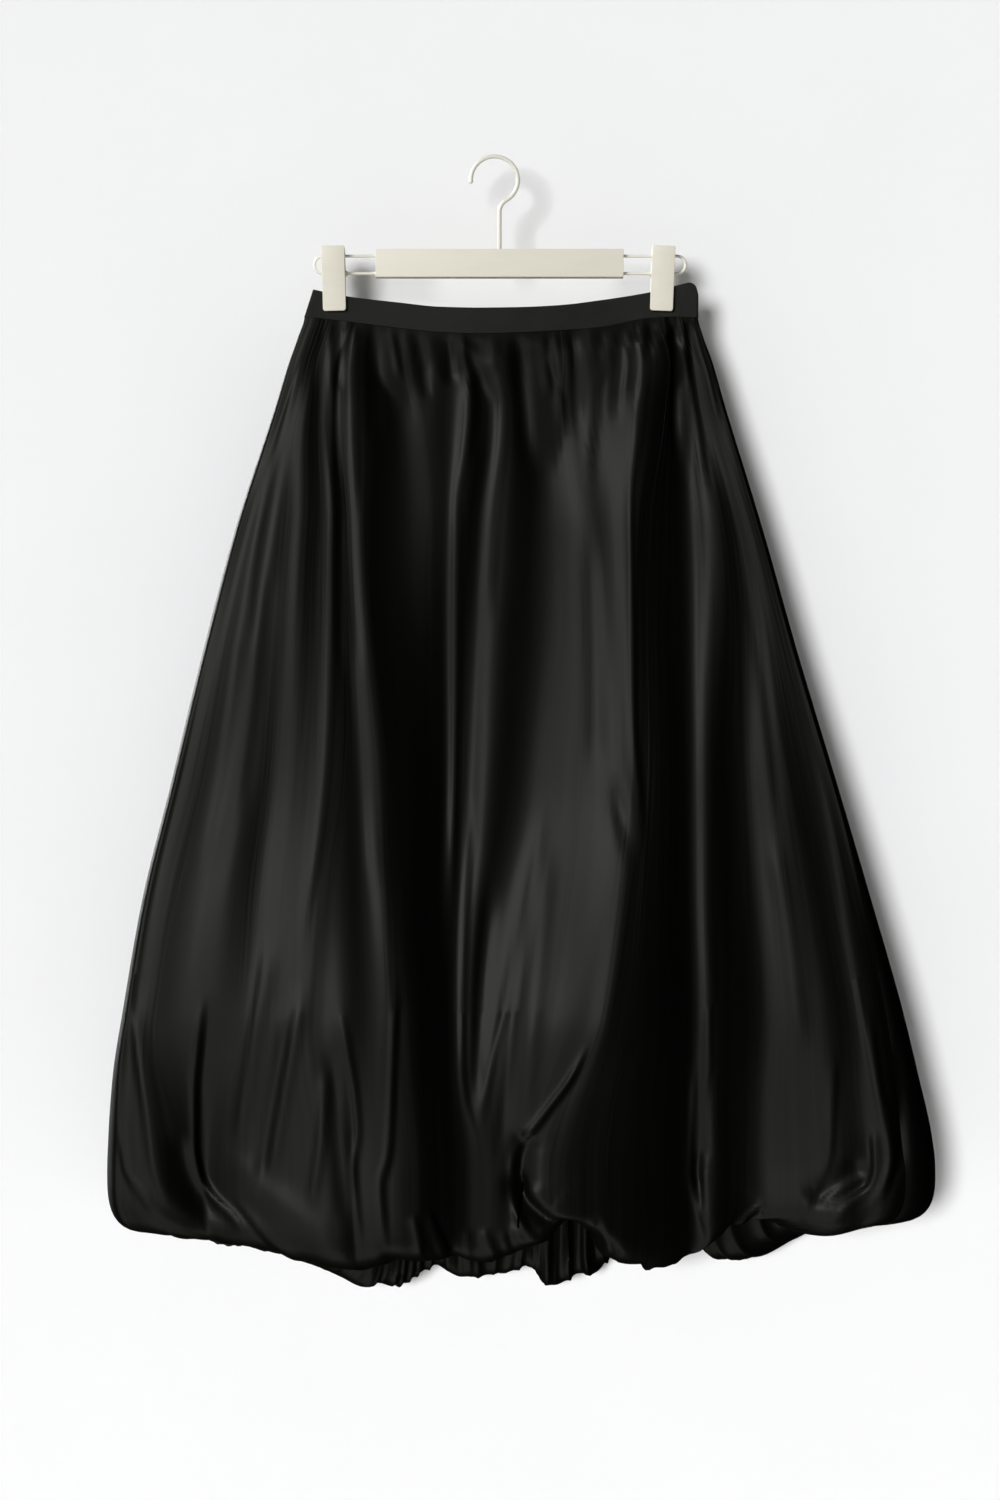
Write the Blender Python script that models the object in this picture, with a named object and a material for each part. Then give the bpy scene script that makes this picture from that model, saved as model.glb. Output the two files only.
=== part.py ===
"""A black satin balloon skirt, clipped by its waistband to a cream clip hanger.

The origin is the inner crown of the hanger's hook. X points to the viewer's right, Y away
from the viewer and Z up. Sizes are in millimetres until a mesh is made. A "drop" is a
distance straight down from the hook's inner crown.
"""

import math

import bpy
import numpy as np

MM = 0.001

# Walls and gaps
GAP = 0.3  # left between two pieces that touch
CLOTH = 1.5  # wall of the satin
BAND = 2.0  # wall of the faced waistband
HEM_BAND = 2.0  # wall of the inner band that holds the gathered hem

# How the two halves of the waistband part between the clips
WAIST_HALF_GAP = 0.6  # off the middle plane, under the clips and beyond them
WAIST_MIDDLE = 3.0
WAIST_HALF_WIDTH = 133.0
WAIST_BOW = 6.0

# Inner band at the hem: an oval as wide as the hem's cut, flat as the skirt hangs
HEM_MIDDLE = 24.0
HEM_BACKWARD = 2.0
HEM_HALF_WIDTH = 302.0
HEM_HALF_DEPTH = 27.0
HEM_DROP = 926.0
HEM_HEIGHT = 22.0
HEM_STEPS = 30  # to each half of the oval

# Columns and rows of the cloth's wall
COLUMN_PITCH = 14.0  # across, at the fullest level
ROUND_STEPS = 3  # columns in the cloth's turn at each side
WALL_ROWS = 15
TURN_ANGLES = (34, 62, 90, 118, 148, 180)  # from the wall round under the hem to the band
FINE_FROM = WALL_ROWS + 1  # the row from which the columns are twice as many
WAIST_BLEND = 55.0  # over which the gathers grow out of the seam
WAIST_SET_BACK = 0.25  # of the satin behind the waistband's face
SEAM_TRIES = 4  # to find where each column meets the slanting waist seam
WAIST_GATHER = 0.6  # height of a gather at the waist seam
HEM_GATHER = 1.9  # half the height of a gather just below the hem band
HEM_GATHER_AT_BAND = 0.5

# The skirt's outline from the front, as drops and places across
EDGES_DROP = (140, 158, 180, 225, 330, 440, 560, 662, 760, 818, 872, 900)
EDGES_LEFT = (-169.5, -175, -183, -197, -231, -260, -289, -314, -331, -340, -344, -345)
EDGES_RIGHT = (181.5, 186, 194, 207, 239, 270, 306, 336, 364, 378, 390, 393)

# Depth of the cloth where it has come round from a side, front and back
SIDE_LEVELS = (142, 225, 330, 560, 760, 900)
LEFT_FRONT_DEEP = (2.4, 5, 9, 16, 26, 32)
RIGHT_FRONT_DEEP = (2.4, 4, 7, 12, 24, 33)
LEFT_BACK_DEEP = (2.4, 5, 8, 14, 24, 32)
RIGHT_BACK_DEEP = (2.4, 5, 8, 14, 22, 28)
FRONT_FULL = (7, 14, 17, 21, 30, 38)  # how much further the middle stands out
BACK_FULL = (6, 7, 8, 10, 14, 16)

# Front folds. Each row is a line down the cloth: its places across at the six levels, then
# its lean there, which is how far the cloth comes forward for each millimetre to the right.
# A line with a high lean is a fold's lit flank, and one with a low lean its far flank.
FRONT_LEVELS = (170, 225, 330, 560, 760, 900)  # waist, yoke, hip, knee, calf, turn
FRONT_FOLDS = (
    ("left turn", (-176.3, -193, -226, -283, -323, -333), (0.20, 0.25, 0.30, 0.40, 0.40, 0.40)),
    ("left side", (-172, -189, -221, -277, -309, -318), (0.25, 0.30, 0.35, 0.45, 0.45, 0.40)),
    ("left side valley", (-169, -184, -212, -254, -283, -272), (0.2, 0.2, 0.2, 0.05, 0, -0.2)),
    ("crease fold", (-165, -179, -199, -224, -258, -257), (0.25, 0.30, 0.40, 0.40, 0.40, 0.45)),
    ("crease valley", (-162, -174, -189, -209, -238, -248), (0.1, 0.1, 0.1, 0.05, 0.05, -0.4)),
    ("left broad fold", (-159, -168, -175, -185, -201, -202), (0.25, 0.3, 0.35, 0.4, 0.35, 0.35)),
    ("left broad valley", (-155, -160, -161, -173, -186, -182), (0, -0.1, -0.05, 0.05, 0.15, 0.25)),
    ("left narrow fold", (-149, -153, -145, -150, -169, -147), (0.4, 0.45, 0.5, 0.4, 0.35, 0.25)),
    ("left narrow valley", (-139, -140, -134, -131, -138, -129), (-0.25, -0.25, -0.2, -0.1, 0, 0)),
    ("left long fold", (-126, -127, -124, -109, -94, -98), (0.35, 0.40, 0.45, 0.45, 0.45, 0.40)),
    ("left hollow", (-99, -99, -100, -67, -58, -52), (-0.35, -0.45, -0.50, -0.55, -0.55, -0.55)),
    ("yoke gather", (-72, -68, -66, -56, -48, -44), (0.20, 0.25, 0.15, -0.35, -0.50, -0.50)),
    ("yoke gather valley", (-40, -43, -44, -44, -40, -37), (-0.25, -0.2, -0.15, -0.45, -0.5, -0.4)),
    ("lapped fold", (-33, -21, -35, -37, -35, -30), (0.30, 0.45, 0.50, 0.50, -0.40, -0.30)),
    ("lapped valley", (-24, -8, -20, -26, -31, -23), (-0.30, -0.45, -0.40, -0.20, -0.40, -0.20)),
    ("middle fold", (-2, 4, -7, -17, -26, -16), (0.25, 0.40, 0.50, 0.50, 0.55, 0.05)),
    ("middle valley", (27, 30, 25, 6, -12, -6), (-0.20, -0.20, -0.15, -0.05, -0.10, 0.0)),
    ("broad fold", (55, 56, 65, 46, 9, 12), (0.20, 0.20, 0.20, 0.20, 0.30, 0.45)),
    ("broad crown", (85, 84, 94, 86, 57, 44), (0.20, 0.25, 0.25, 0.30, 0.30, -0.20)),
    ("broad edge", (127, 129, 120, 128, 90, 85), (0.35, 0.40, 0.40, 0.40, 0.35, 0.05)),
    ("right hollow", (158, 161, 151, 150, 139, 127), (-0.45, -0.55, -0.60, -0.65, -0.60, -0.35)),
    ("right narrow fold", (166, 171, 185, 183, 184, 173), (0.45, 0.45, 0.40, 0.40, 0.35, 0.35)),
    ("right valley", (173, 190, 203, 200, 203, 201), (-0.35, -0.35, -0.40, -0.45, -0.45, -0.50)),
    ("right broad fold", (177, 196, 221, 237, 253, 258), (0.30, 0.40, 0.45, 0.45, 0.40, 0.40)),
    ("right side valley", (181, 199.5, 227, 267, 301, 314), (0, -0.1, -0.1, -0.15, -0.3, -0.45)),
    ("right side fold", (184, 202, 231, 287, 322, 334), (-0.1, -0.1, -0.1, 0.1, 0.2, 0.4)),
    ("side seam", (187, 203.8, 234.5, 300.5, 345, 361), (-0.3, -0.3, -0.3, -0.3, -0.4, -0.5)),
)

# Back folds, from the right edge to the left one: how far across each line is, as a share
# of the width, at the waist, the thigh and the turn, and its lean there.
BACK_LEVELS = (170, 420, 900)
BACK_FOLDS = (
    ("right turn", (0.008, 0.025, 0.040), (0.20, 0.30, 0.45)),
    ("right fold", (0.055, 0.085, 0.110), (0.30, 0.35, 0.40)),
    ("right valley", (0.105, 0.135, 0.165), (-0.25, -0.25, -0.35)),
    ("second fold", (0.160, 0.190, 0.215), (0.30, 0.40, 0.50)),
    ("second valley", (0.215, 0.235, 0.270), (-0.25, -0.30, -0.35)),
    ("third fold", (0.270, 0.285, 0.320), (0.35, 0.45, 0.50)),
    ("third valley", (0.330, 0.350, 0.385), (-0.30, -0.25, -0.30)),
    ("middle right fold", (0.385, 0.405, 0.430), (0.30, 0.35, 0.40)),
    ("middle right valley", (0.445, 0.460, 0.475), (-0.30, -0.40, -0.45)),
    ("middle fold", (0.500, 0.505, 0.520), (0.30, 0.40, 0.45)),
    ("middle left valley", (0.555, 0.560, 0.575), (-0.30, -0.40, -0.50)),
    ("middle left fold", (0.615, 0.615, 0.620), (0.30, 0.35, 0.45)),
    ("fifth valley", (0.670, 0.670, 0.680), (-0.35, -0.45, -0.55)),
    ("fifth fold", (0.725, 0.725, 0.735), (0.30, 0.40, 0.50)),
    ("sixth valley", (0.780, 0.780, 0.785), (-0.30, -0.40, -0.50)),
    ("sixth fold", (0.840, 0.835, 0.840), (0.30, 0.40, 0.50)),
    ("left valley", (0.895, 0.880, 0.885), (-0.30, -0.40, -0.50)),
    ("left fold", (0.945, 0.930, 0.925), (0.15, 0.20, 0.30)),
    ("left turn", (0.992, 0.975, 0.960), (-0.20, -0.30, -0.45)),
)

# Creases that begin or end within the front: three points of each line (across, drop), its
# reach to the left and to the right of the line, and its height, which is negative in a dent.
CREASES = (
    ("waist gather 1", (77, 160), (76, 200), (72, 270), 6, 6, -1.6),
    ("waist gather 2", (100, 160), (97, 190), (94, 250), 6, 6, -1.6),
    ("waist gather 3", (113, 158), (113, 180), (110, 225), 5, 5, -1.6),
    ("waist gather 4", (-85, 165), (-84, 190), (-84, 240), 7, 7, -1.4),
    ("waist gather 5", (12, 165), (14, 200), (14, 270), 7, 7, -1.6),
    ("side crease", (-262, 800), (-262, 885), (-200, 962), 16, 9, 7),
    ("side crease trough", (-253, 810), (-252, 890), (-215, 938), 8, 10, -6),
    ("inner left fold", (-140, 740), (-122, 850), (-122, 965), 12, 8, 5),
    ("lap above the middle", (92, 850), (20, 890), (12, 950), 16, 9, 9),
    ("middle hollow", (30, 868), (24, 910), (44, 950), 11, 15, -26),
    ("lobe right of the hollow", (48, 880), (78, 915), (92, 940), 16, 16, 10),
    ("pocket by the narrow fold", (190, 850), (193, 900), (190, 950), 9, 11, -12),
    ("right pocket", (335, 890), (312, 910), (282, 925), 9, 10, -11),
)
CREASE_STEPS = 24
CREASE_FADE = 0.22  # of its length, at each end

# Lowest line of the balloon: place across, drop, and half the height of its turn
FRONT_HEM = (
    (-345, 955, 50), (-276, 961, 42), (-218, 968, 36), (-170, 981, 34), (-126, 984, 34),
    (-90, 977, 34), (-50, 971, 34), (-11, 979, 32), (14, 971, 28), (36, 962, 24),
    (74, 947, 22), (90, 949, 22), (103, 971, 26), (127, 981, 32), (156, 985, 34),
    (180, 977, 30), (204, 966, 28), (218, 953, 26), (262, 947, 27), (312, 957, 34),
    (345, 950, 42), (393, 947, 48),
)
BACK_HEM = (
    (-345, 955, 50), (-280, 970, 42), (-223, 981, 38), (-187, 992, 36), (-148, 1007, 36),
    (-112, 1014, 36), (-61, 995, 34), (-34, 1006, 34), (4, 1005, 34), (30, 997, 32),
    (60, 1014, 34), (88, 1005, 34), (112, 989, 34), (165, 985, 34), (222, 990, 36),
    (250, 988, 36), (297, 969, 40), (345, 951, 44), (393, 947, 48),
)

# Waistband: top edge and seam, from the left end to the rounded right end
BAND_TOP = (
    (-162, 117), (-133, 123), (-85, 129), (-49, 133), (-13, 134), (23, 133.5), (59, 131.5),
    (94, 127), (139, 119.5), (165, 113), (174, 111), (179.5, 114), (182, 122),
)
BAND_SEAM = (
    (-170, 142), (-138, 145), (-87, 151.5), (-50, 155.5), (-13, 157), (23, 156), (59, 154),
    (94, 151), (140, 142.5), (164, 141.5), (173, 142), (179, 142), (182, 142.5),
)
BAND_COLUMNS = 40

# Hanger
BAR_MIDDLE = 4.5
BAR_LENGTH = 221.0
BAR_HEIGHT = 25.0
BAR_DEPTH = 13.0
BAR_DROP = 94.0  # to its middle
BAR_EDGE = 1.2
HOOK_WIRE = 3.6
HOOK_RADIUS = 21.0  # to the wire's middle
HOOK_TIP_ANGLE = 188.0  # counted from the viewer's right, over the crown
HOOK_LEAVE_ANGLE = -60.0
HOOK_NECK_RADIUS = 12.0
HOOK_DEPTH_IN_BAR = 15.0
LOOP_WIRE = 2.7
LOOP_UPPER_DROP = 87.2
LOOP_LOWER_DROP = 102.8
LOOP_LEFT_END = -162.0
LOOP_RIGHT_END = 172.0
LOOP_DEPTH_IN_BAR = 30.0
WIRE_SIDES = 8
CROWN_STEPS = 22  # of the wires' arcs
NECK_STEPS = 5
LOOP_TURN_STEPS = 8
HOLE_SIDES = 12
CUT_PAST = 5.0  # how far a hole's cutter stands out of the body
CLOTH_SHADE_ANGLE = 60.0  # degrees, above which an edge is shaded sharp
SHADE_ANGLE = 45.0

# Clips
CLIP_LEFT_MIDDLE = -144.0
CLIP_RIGHT_MIDDLE = 151.0
CLIP_WIDTH = 20.5
CLIP_TOP_DROP = 79.0
CLIP_FOOT_DROP = 136.5
CLIP_JAW = 2.6  # wall of a jaw
CLIP_JAW_EDGE = 0.7
CLIP_TOP_DEPTH = 9.5  # from the middle plane to a jaw's outer face
CLIP_KNEE_DROPS = (100.0, 114.0)  # between which a jaw slants in to the waistband
CLIP_LEFT_TILT = -1.3  # degrees, seen from the front
CLIP_RIGHT_TILT = 2.2
SADDLE_WIDTH = 15.0
SADDLE_DROPS = (81.0, 108.5)

SATIN_BLACK = (0.012, 0.012, 0.011, 1.0)
BAND_BLACK = (0.018, 0.018, 0.018, 1.0)
CREAM = (0.79, 0.76, 0.67, 1.0)
CREAM_WIRE = (0.72, 0.70, 0.64, 1.0)


def smooth(at, places, values):
    """A curve through the values at rising places, without overshoot, level past its ends."""
    places = np.asarray(places, float)
    values = np.asarray(values, float)
    step = np.diff(places)
    rise = np.diff(values) / step
    slope = np.zeros(len(places))
    same_way = rise[1:] * rise[:-1] > 0
    total = np.where(same_way, rise[1:] + rise[:-1], 1.0)
    slope[1:-1] = np.where(same_way, 2 * rise[1:] * rise[:-1] / total, 0.0)
    slope[0], slope[-1] = rise[0], rise[-1]
    at = np.clip(at, places[0], places[-1])
    i = np.clip(np.searchsorted(places, at, side="right") - 1, 0, len(step) - 1)
    t = (at - places[i]) / step[i]
    return (
        values[i] * (1 + 2 * t) * (1 - t) ** 2
        + values[i + 1] * t**2 * (3 - 2 * t)
        + step[i] * t * (1 - t) * (slope[i] * (1 - t) - slope[i + 1] * t)
    )


def eased(t):
    """0 to 1 with level ends."""
    t = np.clip(t, 0.0, 1.0)
    return t * t * (3 - 2 * t)


def rows_of(table, column):
    """One column of a table."""
    return [row[column] for row in table]


def left_edge(drop):
    return smooth(drop, EDGES_DROP, EDGES_LEFT)


def right_edge(drop):
    return smooth(drop, EDGES_DROP, EDGES_RIGHT)


def waist_bow(across):
    """How far each half of the waistband stands off the middle plane."""
    share = np.clip(np.abs(across - WAIST_MIDDLE) / WAIST_HALF_WIDTH, 0, 1)
    return WAIST_HALF_GAP + WAIST_BOW * (1 - share**2) ** 2


def seam_drop(across):
    """The waist seam's drop."""
    return smooth(across, rows_of(BAND_SEAM, 0), rows_of(BAND_SEAM, 1))


class Side:
    """The front or the back of the skirt, as lines down the cloth between its two edges."""

    def __init__(self, levels, folds, near, far, near_deep, far_deep, full, hem, creases=()):
        self.levels, self.folds = levels, folds
        self.near, self.far = near, far
        self.near_deep, self.far_deep, self.full = near_deep, far_deep, full
        self.hem, self.creases = hem, creases
        self.last = len(folds) - 1

    def lines(self, drop):
        """Distance from the near edge, lean and height of every line at the drops."""
        width = np.abs(self.far(drop) - self.near(drop))
        away = [smooth(drop, self.levels, share) * width for _, share, _ in self.folds]
        lean = [smooth(drop, self.levels, lean) for _, _, lean in self.folds]
        height = [smooth(drop, SIDE_LEVELS, self.near_deep)]
        for i in range(self.last):
            step = away[i + 1] - away[i]
            height.append(height[-1] + step * (lean[i] + lean[i + 1]) / 2)
        missing = smooth(drop, SIDE_LEVELS, self.far_deep) - height[-1]
        tilt = missing / (away[-1] - away[0])
        height = [h + tilt * (a - away[0]) for h, a in zip(height, away)]
        lean = [one + tilt for one in lean]
        return np.array(away), np.array(lean), np.array(height), width

    def across_and_height(self, place, drop):
        """Where the cloth is, off the middle plane, at a place counted in lines.

        Place 0 is the first line and the last line's number is the last line. From -1 to 0
        the cloth comes round from the near edge, and one past the last line is the far edge.
        """
        away, lean, height, width = self.lines(drop)
        i = np.clip(np.floor(place).astype(int), 0, self.last - 1)
        rest = np.arange(place.size).reshape(place.shape)

        def pick(lines, number):
            return lines.reshape(len(lines), -1)[number.ravel(), rest.ravel()].reshape(drop.shape)

        t = np.clip(place - i, 0, 1)
        step = pick(away, i + 1) - pick(away, i)
        turn = pick(lean, i + 1) - pick(lean, i)
        distance = pick(away, i) + step * t
        h = pick(height, i) + step * (pick(lean, i) * t + turn * (t**3 - t**4 / 2))
        inside = np.clip((distance - away[0]) / (away[-1] - away[0]), 0, 1)
        h = h + smooth(drop, SIDE_LEVELS, self.full) * 4 * inside * (1 - inside)
        near_angle = np.clip(place + 1, 0, 1) * math.pi / 2
        far_angle = np.clip(self.last + 1 - place, 0, 1) * math.pi / 2
        distance = np.where(place < 0, away[0] * (1 - np.cos(near_angle)), distance)
        past = width - (width - away[-1]) * (1 - np.cos(far_angle))
        distance = np.where(place > self.last, past, distance)
        across = self.near(drop) + np.sign(self.far(drop) - self.near(drop)) * distance
        for crease in self.creases:
            h = h + crease_height(crease, across, drop)
        below = drop - seam_drop(across)
        in_band = waist_bow(across) + BAND - WAIST_SET_BACK
        grown = eased(below / WAIST_BLEND)
        h = np.maximum(h, in_band)
        at_seam = in_band + np.clip(h - in_band, 0, WAIST_GATHER)
        h = at_seam + (h - at_seam) * grown
        return across, h * np.sin(near_angle) * np.sin(far_angle)


def crease_height(crease, across, drop):
    """The height that a crease adds at points of the front."""
    _, start, middle, end, reach_left, reach_right, height = crease
    t = np.linspace(0, 1, CREASE_STEPS)
    line = [
        a * (1 - t) ** 2 + (4 * b - a - c) * t * (1 - t) + c * t**2
        for a, b, c in zip(start, middle, end)
    ]
    beside = np.asarray(across)[..., None] - line[0]
    above = np.asarray(drop)[..., None] - line[1]
    nearest = np.argmin(beside**2 + above**2, axis=-1)[..., None]
    beside = np.take_along_axis(beside, nearest, -1)[..., 0]
    above = np.take_along_axis(above, nearest, -1)[..., 0]
    reach = np.where(beside > 0, reach_right, reach_left)
    along = t[nearest[..., 0]]
    fade = eased(along / CREASE_FADE) * eased((1 - along) / CREASE_FADE)
    return height * fade * np.exp(-(beside**2 + above**2) / reach**2)


def front_share(levels, folds):
    """The front's folds with their places as shares of the width at each level."""
    rows = []
    for name, places, lean in folds:
        left = [left_edge(level) for level in levels]
        right = [right_edge(level) for level in levels]
        share = [float((p - a) / (b - a)) for p, a, b in zip(places, left, right)]
        rows.append((name, share, lean))
    return rows


FRONT = Side(
    FRONT_LEVELS, front_share(FRONT_LEVELS, FRONT_FOLDS), left_edge, right_edge,
    LEFT_FRONT_DEEP, RIGHT_FRONT_DEEP, FRONT_FULL, FRONT_HEM, CREASES,
)
BACK = Side(
    BACK_LEVELS, BACK_FOLDS, right_edge, left_edge,
    RIGHT_BACK_DEEP, LEFT_BACK_DEEP, BACK_FULL, BACK_HEM,
)


def places_across(side):
    """Places counted in lines, about one column pitch apart at the fullest level."""
    level = np.array([float(side.levels[-1])])
    away = side.lines(level)[0][:, 0]
    places = [k / ROUND_STEPS - 1 for k in range(ROUND_STEPS)]
    for i in range(side.last):
        parts = max(1, round((away[i + 1] - away[i]) / COLUMN_PITCH))
        places += [i + k / parts for k in range(parts)]
    return places + [side.last + k / ROUND_STEPS for k in range(ROUND_STEPS + 1)]


def with_midpoints(places):
    """The same places with one more between each two."""
    fine = []
    for a, b in zip(places, places[1:]):
        fine += [a, (a + b) / 2]
    return fine + [places[-1]]


def cloth_points(side, places, toward):
    """Rows of points from the waist seam down the wall, round under it and up to the band."""
    place = np.array(places)
    hem_across, hem_drop, hem_turn = (rows_of(side.hem, k) for k in range(3))
    low = np.full(len(place), float(side.levels[-1]))
    across, _ = side.across_and_height(place, low)
    lowest = smooth(across, hem_across, hem_drop)
    half_turn = smooth(across, hem_across, hem_turn)
    top = np.full(len(place), float(side.levels[0]))
    for _ in range(SEAM_TRIES):
        across, _ = side.across_and_height(place, top)
        top = seam_drop(across) + GAP
    rows = []
    for k in range(WALL_ROWS + 1):
        drop = top + (lowest - half_turn - top) * k / WALL_ROWS
        across, height = side.across_and_height(place, drop)
        rows.append((across, toward * height, drop))
    wall_across, wall_depth, wall_end = rows[-1]
    middle = (left_edge(wall_end) + right_edge(wall_end)) / 2
    half_width = (right_edge(wall_end) - left_edge(wall_end)) / 2
    spread = np.clip((wall_across - middle) / half_width, -1, 1)
    inset = (HEM_BAND + CLOTH) / 2
    band_across = HEM_MIDDLE + (HEM_HALF_WIDTH - inset) * spread
    facing = np.where(wall_depth > 0, 1, -1)
    band_depth = HEM_BACKWARD + facing * (HEM_HALF_DEPTH - inset) * np.sqrt(1 - spread**2)
    for degrees in TURN_ANGLES:
        angle = math.radians(degrees)
        moved = (1 - math.cos(angle)) / 2
        if degrees <= 90:
            drop = wall_end + half_turn * math.sin(angle)
        else:
            drop = HEM_DROP + GAP + (lowest - HEM_DROP - GAP) * math.sin(angle)
        rows.append(
            (
                wall_across + (band_across - wall_across) * moved,
                wall_depth + (band_depth - wall_depth) * moved,
                drop,
            )
        )
    return np.stack([np.stack([a, b, -c], axis=-1) for a, b, c in rows])


def tube():
    """The whole skirt as rows of points round it, from the left edge by the front, and the
    numbers of the columns where the front panel ends and where the round closes."""
    front = with_midpoints(places_across(FRONT))
    back = with_midpoints(places_across(BACK))
    points = np.concatenate(
        [cloth_points(FRONT, front, -1), cloth_points(BACK, back, 1)[:, 1:]], axis=1
    )
    gather(points)
    return points, front.index(FRONT.last), points.shape[1] - 1


def gather(points):
    """Lifts every other column where the cloth is gathered towards the hem band."""
    first = FINE_FROM
    last = len(points) - 1
    for row in range(first + 1, last + 1):
        height = HEM_GATHER * (row - first) / (last - 1 - first)
        if row == last:
            height = HEM_GATHER_AT_BAND
        out = outward(points)[row]
        sign = np.where(np.arange(points.shape[1]) % 2, 1.0, -1.0)
        points[row, :-1] += (out * (sign * height)[:, None])[:-1]
        points[row, -1] = points[row, 0]


def outward(points):
    """The cloth's outer normal at each point of the closed tube."""
    ring = points[:, :-1]
    along = np.roll(ring, -1, axis=1) - np.roll(ring, 1, axis=1)
    down = np.gradient(ring, axis=0)
    normal = np.cross(down, along)
    normal[0, :, 2] = normal[-1, :, 2] = 0  # the two sewn edges are cut square
    normal /= np.linalg.norm(normal, axis=2, keepdims=True)
    return np.concatenate([normal, normal[:, :1]], axis=1)


def new_object(name, vertices, faces, material, smooth_angle=None):
    mesh = bpy.data.meshes.new(name)
    mesh.from_pydata([tuple(float(c) * MM for c in v) for v in vertices], [], faces)
    mesh.validate()
    mesh.update()
    mesh.materials.append(material)
    if smooth_angle is not None:
        mesh.shade_smooth()
        mesh.set_sharp_from_angle(angle=math.radians(smooth_angle))
    thing = bpy.data.objects.new(name, mesh)
    bpy.context.collection.objects.link(thing)
    return thing


def new_material(name, colour, roughness, metallic=0.0):
    material = bpy.data.materials.new(name)
    material.use_nodes = True
    shader = material.node_tree.nodes["Principled BSDF"]
    shader.inputs["Base Color"].default_value = colour
    shader.inputs["Roughness"].default_value = roughness
    shader.inputs["Metallic"].default_value = metallic
    material.diffuse_color = colour
    return material


def cloth_panel(name, points, first, last, material):
    """A panel between two columns of the tube, as a wall with half a gap at each side seam."""
    normal = outward(points)
    inner = points - CLOTH * normal
    along = np.roll(points[:, :-1], -1, axis=1) - np.roll(points[:, :-1], 1, axis=1)
    along /= np.linalg.norm(along, axis=2, keepdims=True)
    along = np.concatenate([along, along[:, :1]], axis=1)
    skins = []
    for skin in (points, inner):
        cut = skin[:, first : last + 1].copy()
        cut[:, 0] += along[:, first] * GAP / 2
        cut[:, -1] -= along[:, last] * GAP / 2
        skins.append(cut)
    rows, columns = skins[0].shape[:2]
    number = {}
    vertices = []

    def vertex(skin, row, column):
        key = (skin, row, column)
        if key not in number:
            number[key] = len(vertices)
            vertices.append(skins[skin][row, column])
        return number[key]

    sheet = []
    for row in range(rows - 1):
        for column in range(0, columns - 1, 2):
            a, m, b = (row, column), (row, column + 1), (row, column + 2)
            c, n, d = (row + 1, column), (row + 1, column + 1), (row + 1, column + 2)
            if row < FINE_FROM:
                sheet += [(a, b, d), (a, d, c)]
            elif row == FINE_FROM:
                sheet += [(a, n, c), (a, b, n), (b, d, n)]
            else:
                sheet += [(a, m, n), (a, n, c), (m, b, d), (m, d, n)]
    faces = []
    edges = {}
    for triangle in sheet:
        faces.append([vertex(0, *p) for p in triangle[::-1]])
        faces.append([vertex(1, *p) for p in triangle])
        for p, q in zip(triangle, triangle[1:] + triangle[:1]):
            edges[(p, q)] = True
    for p, q in edges:
        if (q, p) not in edges:
            a, b = vertex(0, *p), vertex(0, *q)
            c, d = vertex(1, *p), vertex(1, *q)
            faces += [[a, b, d], [a, d, c]]
    return new_object(name, vertices, faces, material, CLOTH_SHADE_ANGLE)


def strip(name, top, bottom, out, wall, material):
    """A strip of band between two rows of points, with its wall laid inwards from them."""
    rings = []
    for t, b, n in zip(top, bottom, out):
        t, b, n = np.array(t), np.array(b), np.array(n)
        rings.append([t, b, b - wall * n, t - wall * n])
    vertices = [p for ring in rings for p in ring]
    faces = []
    for k in range(len(rings) - 1):
        for i in range(4):
            j = (i + 1) % 4
            faces.append([4 * k + i, 4 * k + j, 4 * k + 4 + j, 4 * k + 4 + i])
    end = 4 * (len(rings) - 1)
    faces += [[3, 2, 1, 0], [end, end + 1, end + 2, end + 3]]
    thing = new_object(name, vertices, faces, material, SHADE_ANGLE)
    return face_out(thing)


def face_out(thing):
    """Turns a closed mesh's faces outwards if its volume is negative."""
    volume = 0.0
    mesh = thing.data
    for face in mesh.polygons:
        a = mesh.vertices[face.vertices[0]].co
        for i in range(1, len(face.vertices) - 1):
            b = mesh.vertices[face.vertices[i]].co
            c = mesh.vertices[face.vertices[i + 1]].co
            volume += a.dot(b.cross(c))
    if volume < 0:
        mesh.flip_normals()
    return thing


def waistband(name, toward, material):
    """One half of the waistband, bowed off the middle plane between the clips."""
    share = np.linspace(0, 1, BAND_COLUMNS + 1)
    knots = np.linspace(0, 1, len(BAND_TOP))
    top_across = smooth(share, knots, rows_of(BAND_TOP, 0))
    top_drop = smooth(share, knots, rows_of(BAND_TOP, 1))
    seam_across = smooth(share, knots, rows_of(BAND_SEAM, 0))
    low_drop = seam_drop(seam_across)
    top, bottom, out = [], [], []
    for k in range(BAND_COLUMNS + 1):
        top_depth = toward * (waist_bow(top_across[k]) + BAND)
        low_depth = toward * (waist_bow(seam_across[k]) + BAND)
        top.append((top_across[k], top_depth, -top_drop[k]))
        bottom.append((seam_across[k], low_depth, -low_drop[k]))
        out.append((0, toward, 0))
    return strip(name, top, bottom, out, BAND, material)


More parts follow.
